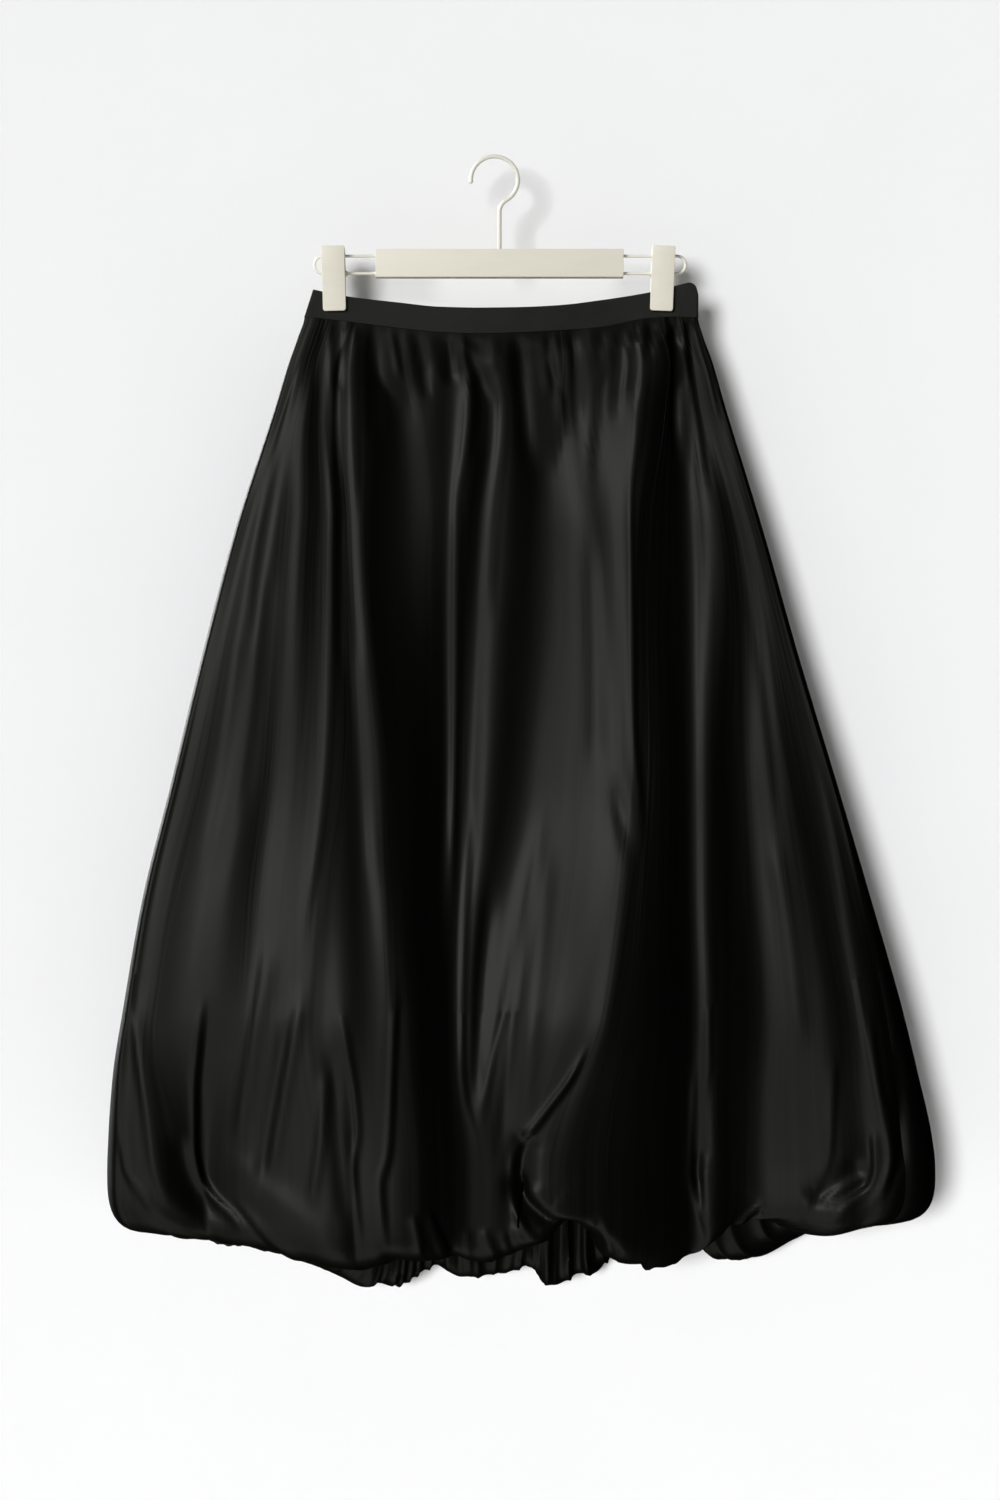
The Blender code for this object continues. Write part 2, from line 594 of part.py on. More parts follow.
def hem_band(name, toward, material):
    """One half of the oval inner band, from the left to the right."""
    top, bottom, out = [], [], []
    end_turn = math.asin(GAP / 2 / HEM_HALF_DEPTH)
    for k in range(HEM_STEPS + 1):
        angle = -math.pi / 2 + end_turn + (math.pi - 2 * end_turn) * k / HEM_STEPS
        across = HEM_MIDDLE + HEM_HALF_WIDTH * math.sin(angle)
        depth = HEM_BACKWARD + toward * HEM_HALF_DEPTH * math.cos(angle)
        normal = np.array((math.sin(angle) / HEM_HALF_WIDTH,
                           toward * math.cos(angle) / HEM_HALF_DEPTH, 0))
        out.append(normal / np.linalg.norm(normal))
        top.append((across, depth, HEM_HEIGHT - HEM_DROP))
        bottom.append((across, depth, -HEM_DROP))
    out[0] = np.array((-1.0, 0, 0))  # the ends are cut square
    out[-1] = np.array((1.0, 0, 0))
    return strip(name, top, bottom, out, HEM_BAND, material)


def wire(name, path, diameter, material):
    """A round wire along a path in the hanger's plane, closed at both ends."""
    radius = diameter / 2
    path = np.array(path, float)
    tangent = np.gradient(path, axis=0)
    tangent /= np.linalg.norm(tangent, axis=1, keepdims=True)
    vertices = []
    for point, way in zip(path, tangent):
        side = np.array((way[1], -way[0]))
        for k in range(WIRE_SIDES):
            angle = 2 * math.pi * (k + 0.5) / WIRE_SIDES
            x, z = point + side * radius * math.cos(angle)
            vertices.append((x, radius * math.sin(angle), z))
    faces = []
    for r in range(len(path) - 1):
        for k in range(WIRE_SIDES):
            j = (k + 1) % WIRE_SIDES
            a, b = r * WIRE_SIDES, (r + 1) * WIRE_SIDES
            faces.append([a + k, a + j, b + j, b + k])
    faces.append(list(range(WIRE_SIDES))[::-1])
    faces.append([(len(path) - 1) * WIRE_SIDES + k for k in range(WIRE_SIDES)])
    return face_out(new_object(name, vertices, faces, material, SHADE_ANGLE))


def arc(centre, radius, start, end, steps):
    """Points of an arc between two angles in degrees."""
    angles = np.radians(np.linspace(start, end, steps + 1))
    return [(centre[0] + radius * math.cos(a), centre[1] + radius * math.sin(a)) for a in angles]


def hook_path():
    """Tip, round the crown, through the reversed neck and down into the bar."""
    centre = (0.0, HOOK_WIRE / 2 - HOOK_RADIUS)
    crown = arc(centre, HOOK_RADIUS, HOOK_TIP_ANGLE, HOOK_LEAVE_ANGLE, CROWN_STEPS)
    leave = math.radians(HOOK_LEAVE_ANGLE)
    reach = HOOK_RADIUS + HOOK_NECK_RADIUS
    neck_centre = (centre[0] + reach * math.cos(leave), centre[1] + reach * math.sin(leave))
    neck = arc(neck_centre, HOOK_NECK_RADIUS, HOOK_LEAVE_ANGLE + 180, 180, NECK_STEPS)
    stem = neck[-1][0]
    foot = BAR_HEIGHT / 2 - BAR_DROP - HOOK_DEPTH_IN_BAR + GAP
    return crown + neck[1:] + [(stem, (neck[-1][1] + foot) / 2), (stem, foot)]


def loop_path(side):
    """The upper wire, the round end and the lower wire of a loop, into the bar."""
    end = LOOP_LEFT_END if side < 0 else LOOP_RIGHT_END
    bar_end = BAR_MIDDLE + side * BAR_LENGTH / 2
    inside = bar_end - side * LOOP_DEPTH_IN_BAR
    radius = (LOOP_LOWER_DROP - LOOP_UPPER_DROP) / 2
    middle = (end - side * (radius + LOOP_WIRE / 2), -(LOOP_LOWER_DROP + LOOP_UPPER_DROP) / 2)
    turn = arc(middle, radius, 90, 90 - side * 180, LOOP_TURN_STEPS)
    return [(inside, -LOOP_UPPER_DROP)] + turn + [(inside, -LOOP_LOWER_DROP)]


def cutter(name, start, end, diameter):
    """A round rod that cuts a hole, level or upright, and isn't part of the object."""
    bpy.ops.object.select_all(action="DESELECT")
    start, end = np.array(start, float), np.array(end, float)
    level = start[2] == end[2]
    bpy.ops.mesh.primitive_cylinder_add(
        vertices=HOLE_SIDES,
        radius=diameter / 2 * MM,
        depth=float(np.linalg.norm(end - start)) * MM,
        location=tuple((start + end) / 2 * MM),
        rotation=(0, math.pi / 2 if level else 0, 0),
    )
    thing = bpy.context.object
    thing.name = name
    thing.hide_render = True
    thing.display_type = "WIRE"
    return thing


def cut_by(thing, tools):
    for tool in tools:
        cut = thing.modifiers.new(tool.name, "BOOLEAN")
        cut.operation = "DIFFERENCE"
        cut.object = tool
        cut.solver = "EXACT"


def prism(name, outline, near, far, material, edge=0.0, segments=1):
    """A body with the same (depth, drop) outline at its two ends, which are functions that
    place it, and with bevelled edges."""
    vertices = [place(depth, drop) for place in (near, far) for depth, drop in outline]
    n = len(outline)
    faces = [list(range(n)), list(range(2 * n - 1, n - 1, -1))]
    for i in range(n):
        j = (i + 1) % n
        faces.append([i, i + n, j + n, j])
    thing = face_out(new_object(name, vertices, faces, material))
    if edge:
        bevel = thing.modifiers.new("edges", "BEVEL")
        bevel.width = edge * MM
        bevel.segments = segments
    return thing


def hanger_bar(material):
    left, right = BAR_MIDDLE - BAR_LENGTH / 2, BAR_MIDDLE + BAR_LENGTH / 2
    top, foot = BAR_DROP - BAR_HEIGHT / 2, BAR_DROP + BAR_HEIGHT / 2
    deep = BAR_DEPTH / 2
    bar = prism(
        "hanger_bar", [(-deep, top), (-deep, foot), (deep, foot), (deep, top)],
        lambda depth, drop: (left, depth, -drop), lambda depth, drop: (right, depth, -drop),
        material, BAR_EDGE, 2,
    )
    stem = hook_path()[-1][0]
    rods = [
        cutter("stem_hole", (stem, 0, -top - HOOK_DEPTH_IN_BAR), (stem, 0, CUT_PAST - top),
               HOOK_WIRE + 2 * GAP)
    ]
    for side, end in ((-1, left), (1, right)):
        outer = end + side * CUT_PAST
        inner = end - side * (LOOP_DEPTH_IN_BAR + GAP)
        for drop in (LOOP_UPPER_DROP, LOOP_LOWER_DROP):
            name = f"wire_hole_{side}_{drop:.0f}"
            rods.append(cutter(name, (inner, 0, -drop), (outer, 0, -drop), LOOP_WIRE + 2 * GAP))
    cut_by(bar, rods)
    return bar


def jaw(name, middle, tilt, toward, material):
    """A clip's jaw: upright at the top, slanting in, and flat on the waistband."""
    face = WAIST_HALF_GAP + BAND + GAP
    outer = [
        (CLIP_TOP_DEPTH, CLIP_TOP_DROP),
        (CLIP_TOP_DEPTH, CLIP_KNEE_DROPS[0]),
        (face + CLIP_JAW, CLIP_KNEE_DROPS[1]),
        (face + CLIP_JAW, CLIP_FOOT_DROP),
    ]
    inner = [(depth - CLIP_JAW, drop) for depth, drop in outer[::-1]]
    turned = math.radians(tilt)

    def end(half):
        def place(depth, drop):
            below = drop - CLIP_TOP_DROP
            x = middle + half * math.cos(turned) - below * math.sin(turned)
            z = -CLIP_TOP_DROP - below * math.cos(turned) - half * math.sin(turned)
            return x, toward * depth, z

        return place

    ends = end(-CLIP_WIDTH / 2), end(CLIP_WIDTH / 2)
    return prism(name, outer + inner, *ends, material, CLIP_JAW_EDGE)


def saddle(name, middle, material):
    """The block between a clip's jaws, which slides on the two wires of a loop."""
    deep = CLIP_TOP_DEPTH - CLIP_JAW - GAP
    narrow = WAIST_HALF_GAP + BAND  # where the jaws come together
    top, foot = SADDLE_DROPS
    left, right = middle - SADDLE_WIDTH / 2, middle + SADDLE_WIDTH / 2
    half = [(deep, top), (deep, CLIP_KNEE_DROPS[0]), (narrow, foot)]
    outline = half + [(-depth, drop) for depth, drop in half[::-1]]
    thing = prism(
        name, outline,
        lambda depth, drop: (left, depth, -drop), lambda depth, drop: (right, depth, -drop),
        material,
    )
    rods = [
        cutter(f"{name}_hole_{drop:.0f}", (left - CUT_PAST, 0, -drop),
               (right + CUT_PAST, 0, -drop), LOOP_WIRE + 2 * GAP)
        for drop in (LOOP_UPPER_DROP, LOOP_LOWER_DROP)
    ]
    cut_by(thing, rods)
    return thing


def build():
    for thing in list(bpy.data.objects):
        bpy.data.objects.remove(thing, do_unlink=True)
    satin = new_material("black satin", SATIN_BLACK, 0.38)
    faced = new_material("black waistband satin", BAND_BLACK, 0.6)
    paint = new_material("cream paint", CREAM, 0.45)
    coated = new_material("cream coated wire", CREAM_WIRE, 0.35)
    points, seam, end = tube()
    cloth_panel("skirt_front", points, 0, seam, satin)
    cloth_panel("skirt_back", points, seam, end, satin)
    waistband("waistband_front", -1, faced)
    waistband("waistband_back", 1, faced)
    hem_band("hem_band_front", -1, faced)
    hem_band("hem_band_back", 1, faced)
    hanger_bar(paint)
    wire("hanger_hook", hook_path(), HOOK_WIRE, coated)
    wire("wire_loop_left", loop_path(-1), LOOP_WIRE, coated)
    wire("wire_loop_right", loop_path(1), LOOP_WIRE, coated)
    clips = (
        ("left", CLIP_LEFT_MIDDLE, CLIP_LEFT_TILT),
        ("right", CLIP_RIGHT_MIDDLE, CLIP_RIGHT_TILT),
    )
    for name, middle, tilt in clips:
        jaw(f"clip_{name}_front", middle, tilt, -1, paint)
        jaw(f"clip_{name}_back", middle, tilt, 1, paint)
        saddle(f"clip_{name}_saddle", middle, paint)


build()
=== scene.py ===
"""The looks of a black satin balloon skirt, clipped by its waistband to a cream hanger.

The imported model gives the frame: the origin is the inner crown of the hanger's hook, X points
to the viewer's right, Y away from the viewer and Z up. Cloth is worked out in millimetres, and
a "drop" is a distance straight down from the hook's inner crown.
"""

import math

import bpy
import numpy as np
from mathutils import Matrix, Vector


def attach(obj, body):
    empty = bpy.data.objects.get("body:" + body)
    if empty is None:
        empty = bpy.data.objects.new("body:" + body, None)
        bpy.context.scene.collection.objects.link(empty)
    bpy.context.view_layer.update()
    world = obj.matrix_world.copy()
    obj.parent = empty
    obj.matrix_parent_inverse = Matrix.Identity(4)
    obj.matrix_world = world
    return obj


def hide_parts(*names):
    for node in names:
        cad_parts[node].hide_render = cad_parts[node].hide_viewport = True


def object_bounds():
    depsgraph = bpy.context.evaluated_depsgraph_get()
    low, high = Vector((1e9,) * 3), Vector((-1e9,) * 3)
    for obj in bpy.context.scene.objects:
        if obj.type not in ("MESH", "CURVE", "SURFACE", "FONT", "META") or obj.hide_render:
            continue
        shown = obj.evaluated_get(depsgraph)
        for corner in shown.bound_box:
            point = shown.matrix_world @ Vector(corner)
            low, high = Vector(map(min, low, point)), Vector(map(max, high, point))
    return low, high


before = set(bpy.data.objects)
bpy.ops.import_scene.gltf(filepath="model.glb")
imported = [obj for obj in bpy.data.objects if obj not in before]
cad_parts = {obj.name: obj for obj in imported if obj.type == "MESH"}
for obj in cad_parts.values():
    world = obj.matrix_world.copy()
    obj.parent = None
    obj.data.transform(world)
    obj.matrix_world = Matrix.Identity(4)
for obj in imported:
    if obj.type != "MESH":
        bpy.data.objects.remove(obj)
cad_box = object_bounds()

# ---- Camera -------------------------------------------------------------------------------
# The skirt is seen straight on, level with its knees, from a little over three metres away.
# The frame is upright, so the sensor's 36 mm is the frame's height.

CAMERA_PLACE = (0.0049, -3.16, -0.5282)
LENS = 84.93

camera_data = bpy.data.cameras.new("camera")
camera_data.lens = LENS
camera = bpy.data.objects.new("camera", camera_data)
camera.location = CAMERA_PLACE
camera.rotation_euler = (math.pi / 2, 0, 0)
bpy.context.scene.collection.objects.link(camera)
bpy.context.scene.camera = camera

# ---- Satin body, front and back -------------------------------------------------------------
# Two panels of black satin, gathered into the waistband at the top and, turned under, into a
# short inner band at the hem, so the cloth hangs as a balloon. The back panel comes round the
# right edge to a side seam that shows from the front. All sizes here are in millimetres.

MM = 0.001
CLOTH = 0.9  # wall of the satin, with its turned edges
SEAM_GAP = 0.3

# the skirt's outline from the front, as drops and places across
EDGES_DROP = (140, 158, 180, 225, 330, 440, 560, 662, 760, 818, 872, 900)
EDGES_LEFT = (-169.5, -175, -183, -197, -231, -260, -289, -314, -331, -340, -344, -345)
EDGES_RIGHT = (181.5, 186, 194, 207, 239, 270, 306, 336, 364, 378, 390, 393)

# depth of the cloth where it has come round from a side, and how much further its middle is
SIDE_LEVELS = (142, 225, 330, 560, 760, 900, 950)
LEFT_FRONT_DEEP = (2.4, 8, 15, 26, 40, 48, 49)
RIGHT_FRONT_DEEP = (2.4, 9, 15, 26, 42, 53, 54)
LEFT_BACK_DEEP = (2.4, 5, 8, 14, 24, 32, 33)
RIGHT_BACK_DEEP = (2.4, 5, 8, 14, 22, 28, 29)
FRONT_FULL = (12, 17, 19, 22, 30, 38, 41)
BACK_FULL = (9, 9, 9, 10, 14, 16, 17)

# waistband: its halves part between the clips, and the satin hangs from its slanting seam
WAIST_HALF_GAP = 0.6
WAIST_MIDDLE = 3.0
WAIST_HALF_WIDTH = 133.0
WAIST_BOW = 6.0
BAND = 2.0
WAIST_SET_BACK = 0.25
WAIST_BLEND = 24.0  # over which the folds grow out of the seam
WAIST_GATHER = 1.2
WAIST_SINK = 0.4  # of the cloth into the seam, between its gathers
BAND_SEAM = (
    (-170, 142), (-138, 145), (-87, 151.5), (-50, 155.5), (-13, 157), (23, 156), (59, 154),
    (94, 151), (140, 142.5), (164, 141.5), (173, 142), (179, 142), (182, 142.5),
)

# hem: the oval inner band that the turned-under cloth is gathered to
HEM_MIDDLE = 24.0
HEM_BACKWARD = 2.0
HEM_HALF_WIDTH = 302.0
HEM_HALF_DEPTH = 27.0
HEM_DROP = 926.0
HEM_BAND = 2.0

# Front folds: a line's places across at six levels, then its lean there, which is how far the
# cloth comes forward for each millimetre to the right. The light comes from the left, so a
# high lean is a lit flank and a low lean a dark one. These leans weren't set by hand: other
# programs made nearly all of them, from readings of the photograph's light and dark and by fits
# to it. The rules for this script don't allow that, so it is no example of how to set folds.
FRONT_LEVELS = (170, 225, 330, 560, 760, 900)  # waist, yoke, hip, knee, calf, turn
FRONT_FOLDS = (
    ("left turn", (-175.5, -192.5, -226, -283, -323, -331), (0.18, -0.09, 0.11, -0.34, -0.24, -0.01)),
    ("left side", (-172, -189.5, -222, -278, -313, -318), (0.24, -0.05, 0.12, -0.03, 0.12, 0.05)),
    ("left side valley", (-168.5, -186, -214, -256, -297, -271), (0.07, 0.34, -0.17, -0.14, -0.05, -0.57)),
    ("crease fold", (-166, -181.5, -205.5, -229, -263, -259), (-0.08, 0.02, 0.28, 0.15, 0.06, -0.49)),
    ("crease valley", (-163.5, -175.5, -189.5, -209, -228, -249), (-0.05, 0.1, -0.28, -0.29, 0.03, 0.23)),
    ("left broad fold", (-159, -171, -175, -187, -203, -205), (-0.29, 0.04, -0.1, 0.11, 0.18, 0.05)),
    ("left broad valley", (-155, -161, -162, -172, -184, -182), (0.12, -0.47, -0.49, -0.02, 0.14, 0.1)),
    ("left narrow fold", (-149, -152.5, -147, -153, -169, -152), (0.17, 0.01, -0.16, 0.04, 0.15, 0.1)),
    ("left narrow valley", (-140, -146, -136, -136, -158, -137), (0.41, -0.32, -0.62, -0.3, 0.04, -0.08)),
    ("inner fold", (-135.5, -141, -132.5, -131, -142, -125), (-0.15, 0.24, -0.66, -0.39, 0.17, -0.42)),
    ("inner valley", (-132, -135.5, -130, -123, -120, -116), (-0.03, -0.06, -0.31, -0.36, -0.15, 0.09)),
    ("left long fold", (-127, -129, -124.5, -108, -98, -99), (0.15, 0, 0, 0.2, 0.08, -0.02)),
    ("left hollow", (-103.5, -101, -109.5, -91, -81, -71), (-0.49, -0.64, -0.68, -0.57, -0.19, -0.27)),
    ("yoke gather", (-80.5, -72.5, -61.5, -68, -62, -57), (0.44, 0.13, -0.15, -0.71, -0.73, -0.66)),
    ("yoke gather valley", (-43, -45.5, -46.5, -49, -50, -44), (0.06, -0.15, -0.31, -0.68, -0.68, -0.62)),
    ("lapped fold", (-32.5, -27, -36, -38, -43, -38), (0.09, 0.35, 0.16, 0.2, -0.68, -0.62)),
    ("lapped valley", (-23.5, -8.5, -21, -28, -37, -32), (0.48, -0.61, -0.7, -0.28, -0.32, -0.49)),
    ("middle fold", (-8.5, 3, -6.5, -18, -28, -16), (0.46, 0.37, 0.13, 0.3, 0.35, -0.05)),
    ("middle valley", (18, 28, 23.5, 7, -15, -5), (-0.17, -0.57, -0.45, -0.33, -0.13, -0.04)),
    ("broad fold", (45, 51, 59, 41, 8, 7), (0.49, 0.35, 0.08, 0.15, 0.41, -0.17)),
    ("broad crown", (60, 59, 74, 72, 46, 20), (0.51, 0.42, 0.18, 0.19, 0.28, 0.2)),
    ("broad dent", (70.5, 69.5, 92, 102, 76, 32), (0.29, 0.27, 0.03, 0.3, 0.21, 0.1)),
    ("broad edge", (124, 121.5, 117.5, 117, 90, 47), (0.41, 0.33, 0.3, 0.18, 0.29, -0.05)),
    ("right hollow", (152.5, 150.5, 132, 130, 106, 78), (0.07, -0.49, -0.56, -0.22, -0.18, -0.25)),
    ("hollow far side", (158, 159.5, 161, 163, 166, 166), (-0.51, -0.6, -0.55, -0.64, -0.68, -0.6)),
    ("right narrow fold", (167, 172, 185, 184, 185, 186), (0.03, 0.5, 0.51, 0.37, 0.44, 0.52)),
    ("right valley", (171.5, 179, 200, 200, 200, 202), (0.28, 0.5, -0.01, -0.66, -0.39, -0.5)),
    ("valley far side", (174, 184.5, 207, 215, 220, 213), (0.58, 0.49, -0.3, -0.22, -0.27, -0.3)),
    ("right broad fold", (177.5, 189.5, 218.5, 235, 250, 249), (0.59, 0.49, 0.2, 0.4, 0.42, 0.42)),
    ("broad fold far side", (178.8, 191.8, 221.8, 252, 280, 290), (0.53, 0.48, 0.29, 0.16, 0.36, 0.42)),
    ("right side valley", (180, 194, 225, 268, 303, 312), (0.47, 0.47, 0.37, -0.13, -0.02, 0.0)),
    ("right side fold", (183, 197.5, 229.5, 287, 323, 336), (0.62, 0.52, 0.06, 0.07, 0.31, 0.43)),
    ("side seam", (187, 204, 234.5, 300, 345, 361), (0.6, 0.28, 0.02, 0.32, -0.48, -0.63)),
)

# Back folds, from the right edge to the left one, as shares of the width at three levels
BACK_LEVELS = (170, 420, 900)
BACK_FOLDS = (
    ("right turn", (0.008, 0.025, 0.040), (0.20, 0.30, 0.45)),
    ("right fold", (0.055, 0.085, 0.110), (0.30, 0.35, 0.40)),
    ("right valley", (0.105, 0.135, 0.165), (-0.25, -0.25, -0.35)),
    ("second fold", (0.160, 0.190, 0.215), (0.30, 0.40, 0.50)),
    ("second valley", (0.215, 0.235, 0.270), (-0.25, -0.30, -0.35)),
    ("third fold", (0.270, 0.285, 0.320), (0.35, 0.45, 0.50)),
    ("third valley", (0.330, 0.350, 0.385), (-0.30, -0.25, -0.30)),
    ("middle right fold", (0.385, 0.405, 0.430), (0.30, 0.35, 0.40)),
    ("middle right valley", (0.445, 0.460, 0.475), (-0.30, -0.40, -0.45)),
    ("middle fold", (0.500, 0.505, 0.520), (0.30, 0.40, 0.45)),
    ("middle left valley", (0.555, 0.560, 0.575), (-0.30, -0.40, -0.50)),
    ("middle left fold", (0.615, 0.615, 0.620), (0.30, 0.35, 0.45)),
    ("fifth valley", (0.670, 0.670, 0.680), (-0.35, -0.45, -0.55)),
    ("fifth fold", (0.725, 0.725, 0.735), (0.30, 0.40, 0.50)),
    ("sixth valley", (0.780, 0.780, 0.785), (-0.30, -0.40, -0.50)),
    ("sixth fold", (0.840, 0.835, 0.840), (0.30, 0.40, 0.50)),
    ("left valley", (0.895, 0.880, 0.885), (-0.30, -0.40, -0.50)),
    ("left fold", (0.945, 0.930, 0.925), (0.15, 0.20, 0.30)),
    ("left turn", (0.992, 0.975, 0.960), (-0.20, -0.30, -0.45)),
)

# Lowest line of the balloon: place across, drop, and half the height of its turn
FRONT_HEM = (
    (-345, 955, 50), (-276, 961, 42), (-218, 968, 36), (-170, 977, 34), (-130, 983, 34),
    (-104, 978, 30), (-93, 973, 28), (-73, 975, 34), (-47, 974, 34), (-41, 970, 28),
    (-26, 975, 30), (-11, 978, 30), (14, 970, 28), (36, 962, 24),
    (74, 947, 22), (90, 949, 22), (103, 971, 26), (127, 981, 32), (156, 985, 34),
    (180, 975, 30), (190, 971, 26), (204, 962, 28), (218, 950, 26), (262, 943, 27), (312, 957, 34),
    (345, 950, 42), (393, 947, 48),
)
BACK_HEM = (
    (-345, 955, 50), (-280, 970, 42), (-223, 981, 38), (-187, 992, 36), (-148, 1007, 36),
    (-130, 1014, 34), (-119, 1010, 32), (-103, 1014, 34), (-61, 996, 34), (-34, 1006, 34),
    (4, 1005, 34), (27, 996, 32), (44, 1010, 34), (61, 1015, 34), (82, 1003, 34),
    (97, 1004, 34), (112, 989, 34), (165, 985, 34), (208, 978, 36), (224, 989, 36),
    (250, 988, 36), (284, 974, 40), (297, 968, 40), (345, 951, 44), (393, 947, 48),
)

# Soft ridges and dents that start or end within the front: the line's points (across, drop),
# its reach to the left and to the right, and its height, negative in a dent.
FRONT_CREASES = (
    # gathers that fan out of the waist seam
    ("left gather dent", ((-135, 135), (-139, 186), (-140, 212)), 4, 4, -1.6),
    ("yoke left dent", ((-109, 130), (-106, 199), (-106, 255)), 6, 6, -1.8),
    ("yoke first gather", ((-99, 130), (-90, 167), (-84, 200)), 3, 3, 1.3),
    ("yoke second gather", ((-84, 130), (-75, 180), (-68, 226)), 4, 3.5, 1.5),
    ("yoke dent", ((-73, 135), (-64, 186), (-58, 220)), 3, 3, -1.8),
    ("yoke third gather", ((-66, 132), (-56, 172), (-48, 205)), 3, 3, 1.4),
    ("yoke triangle", ((-45, 138), (-41, 172), (-38, 205)), 4.5, 4, -2.4),
    ("lap pocket", ((-17, 184), (-12, 205), (-11, 226), (-17, 265)), 4, 5, -2.4),
    ("middle dent", ((18, 130), (24, 194), (28, 276)), 6, 6, -2.2),
    ("middle ridge", ((39, 130), (44, 176), (49, 216)), 4, 4, 1.3),
    ("middle second ridge", ((51, 135), (57, 186), (61, 246)), 5, 4, 1.3),
    ("middle right dent", ((66, 133), (72, 190), (75, 246)), 4, 4, -2.0),
    ("edge dent", ((112, 150), (110, 194), (107, 236)), 3, 3, -1.8),
    ("edge second dent", ((124, 145), (124, 186), (125, 224)), 2.5, 2.5, -1.8),
    ("clip dent", ((142, 130), (139, 158), (136, 184)), 3.5, 3.5, -1.8),
    ("clip column", ((161, 140), (161, 180), (161, 223), (160, 262)), 3.5, 4, -2.4),
    # down the long folds
    ("long fold dent", ((-136, 300), (-137, 380), (-134, 470)), 4, 4, -1.2),
    ("long fold soft ridge", ((-122, 420), (-113, 540), (-104, 660)), 5, 6, 1.0),
    ("left soft ridge", ((-215, 400), (-230, 520), (-252, 640)), 8, 8, 1.2),
    ("left soft dent", ((-196, 350), (-206, 470), (-222, 600)), 6, 7, -1.2),
    ("broad soft dent", ((84, 330), (88, 440), (90, 560)), 7, 7, -1.2),
    ("broad wedge", ((104, 560), (113, 592), (124, 618)), 6, 7, -2.0),
    ("right soft dent", ((222, 360), (240, 470), (256, 600)), 6, 6, -1.0),
    ("right soft ridge", ((246, 600), (262, 700), (270, 800)), 8, 9, 1.6),
    # round the hem
    ("left lobe crest", ((-236, 880), (-200, 912), (-160, 944), (-124, 976)), 16, 12, 1.4),
    ("inner left fold", ((-136, 740), (-128, 790), (-122, 824), (-119, 860), (-122, 890), (-120, 920),
                         (-117, 950), (-115, 976)), 3.2, 3.6, 1.4),
    ("middle right point", ((45, 572), (30, 664), (11, 748), (2, 782), (-6, 820), (-15, 868)), 4, 4, 1.1),
    ("right side ridge", ((278, 500), (301, 602), (317, 719), (329, 791), (340, 851), (348, 884), (342, 911),
                          (319, 931), (284, 941)), 3, 4, 1.3),
    ("left wedge", ((-278, 860), (-272, 896), (-256, 924), (-222, 948)), 10, 6, -3.2),
    ("side ridge", ((-322, 730), (-314, 790), (-305, 843), (-297, 896), (-286, 922), (-261, 940),
                    (-222, 957)), 5, 9, 2.0),
    ("left lobe streak", ((-196, 690), (-212, 790), (-226, 880)), 6, 9, 1.6),
    ("left lobe second streak", ((-166, 730), (-182, 820), (-198, 910)), 6, 7, 1.5),
    ("left lobe third streak", ((-146, 800), (-150, 860), (-160, 930)), 5, 5, 1.4),
    ("left lobe soft dent", ((-180, 760), (-196, 850), (-206, 920)), 6, 6, -1.2),
    ("inner left dark", ((-142, 780), (-137, 860), (-133, 900), (-128, 950)), 7, 5, -1.6),
    ("hem facet", ((-72, 930), (-66, 950), (-64, 972)), 4, 4, 1.6),
    ("hem second facet", ((-58, 936), (-50, 955), (-43, 973)), 3.5, 3.5, 1.2),
    ("middle point dent", ((-2, 640), (-12, 740), (-15, 790), (-17, 846)), 6, 6, -2.4),
    ("middle green", ((28, 640), (14, 780), (2, 900)), 5, 5, -1.0),
    ("middle bright", ((48, 600), (34, 760), (24, 880)), 8, 8, 1.2),
    ("hem small ridge", ((-24, 944), (-23, 962), (-23, 976)), 4, 4, 1.4),
    ("hem slanting ridge", ((-10, 944), (-6, 956), (2, 974)), 4.5, 4.5, 1.5),
    ("hem third ridge", ((6, 946), (10, 958), (15, 972)), 4, 4, 1.2),
    ("hollow's top", ((26, 860), (21, 884), (21, 914)), 5.5, 14, -5),
    ("hollow", ((16, 892), (26, 917), (50, 937), (84, 950)), 10, 5, -8.5),
    ("lip under the hollow", ((14, 938), (26, 956), (48, 953), (68, 944)), 5, 5, 1.8),
    ("lobe tip", ((84, 938), (91, 948), (96, 946)), 3.5, 3.5, 1.8),
    ("lobe strip", ((84, 953), (91, 964), (100, 976)), 4, 4, 1.8),
    ("lobe strip dark", ((96, 950), (103, 960), (110, 974)), 4, 4, -2.0),
    ("pocket facet", ((186, 880), (187, 915), (190, 950)), 4, 5, 1.6),
    ("pocket dark", ((180, 880), (178, 900), (181, 916)), 2.5, 3, -1.8),
    ("narrow fold foot", ((176, 800), (174, 857), (172, 900), (175, 918), (182, 937), (188, 955), (189, 974)),
     2.8, 4, 1.5),
    ("lobe notch", ((238, 934), (231, 939), (222, 946)), 3, 3, -3.0),
    ("right lobe dent", ((272, 926), (300, 907), (328, 890)), 8, 8, -4.5),
    ("right lobe line", ((332, 905), (309, 917), (287, 929)), 2.5, 2.5, -2.2),
    ("right lobe rim", ((266, 941), (295, 945), (325, 940)), 2.5, 2.5, 1.4),
    ("back edge dark", ((353, 780), (359, 832), (358, 882), (350, 906), (338, 926)), 4, 4, -2.8),
)

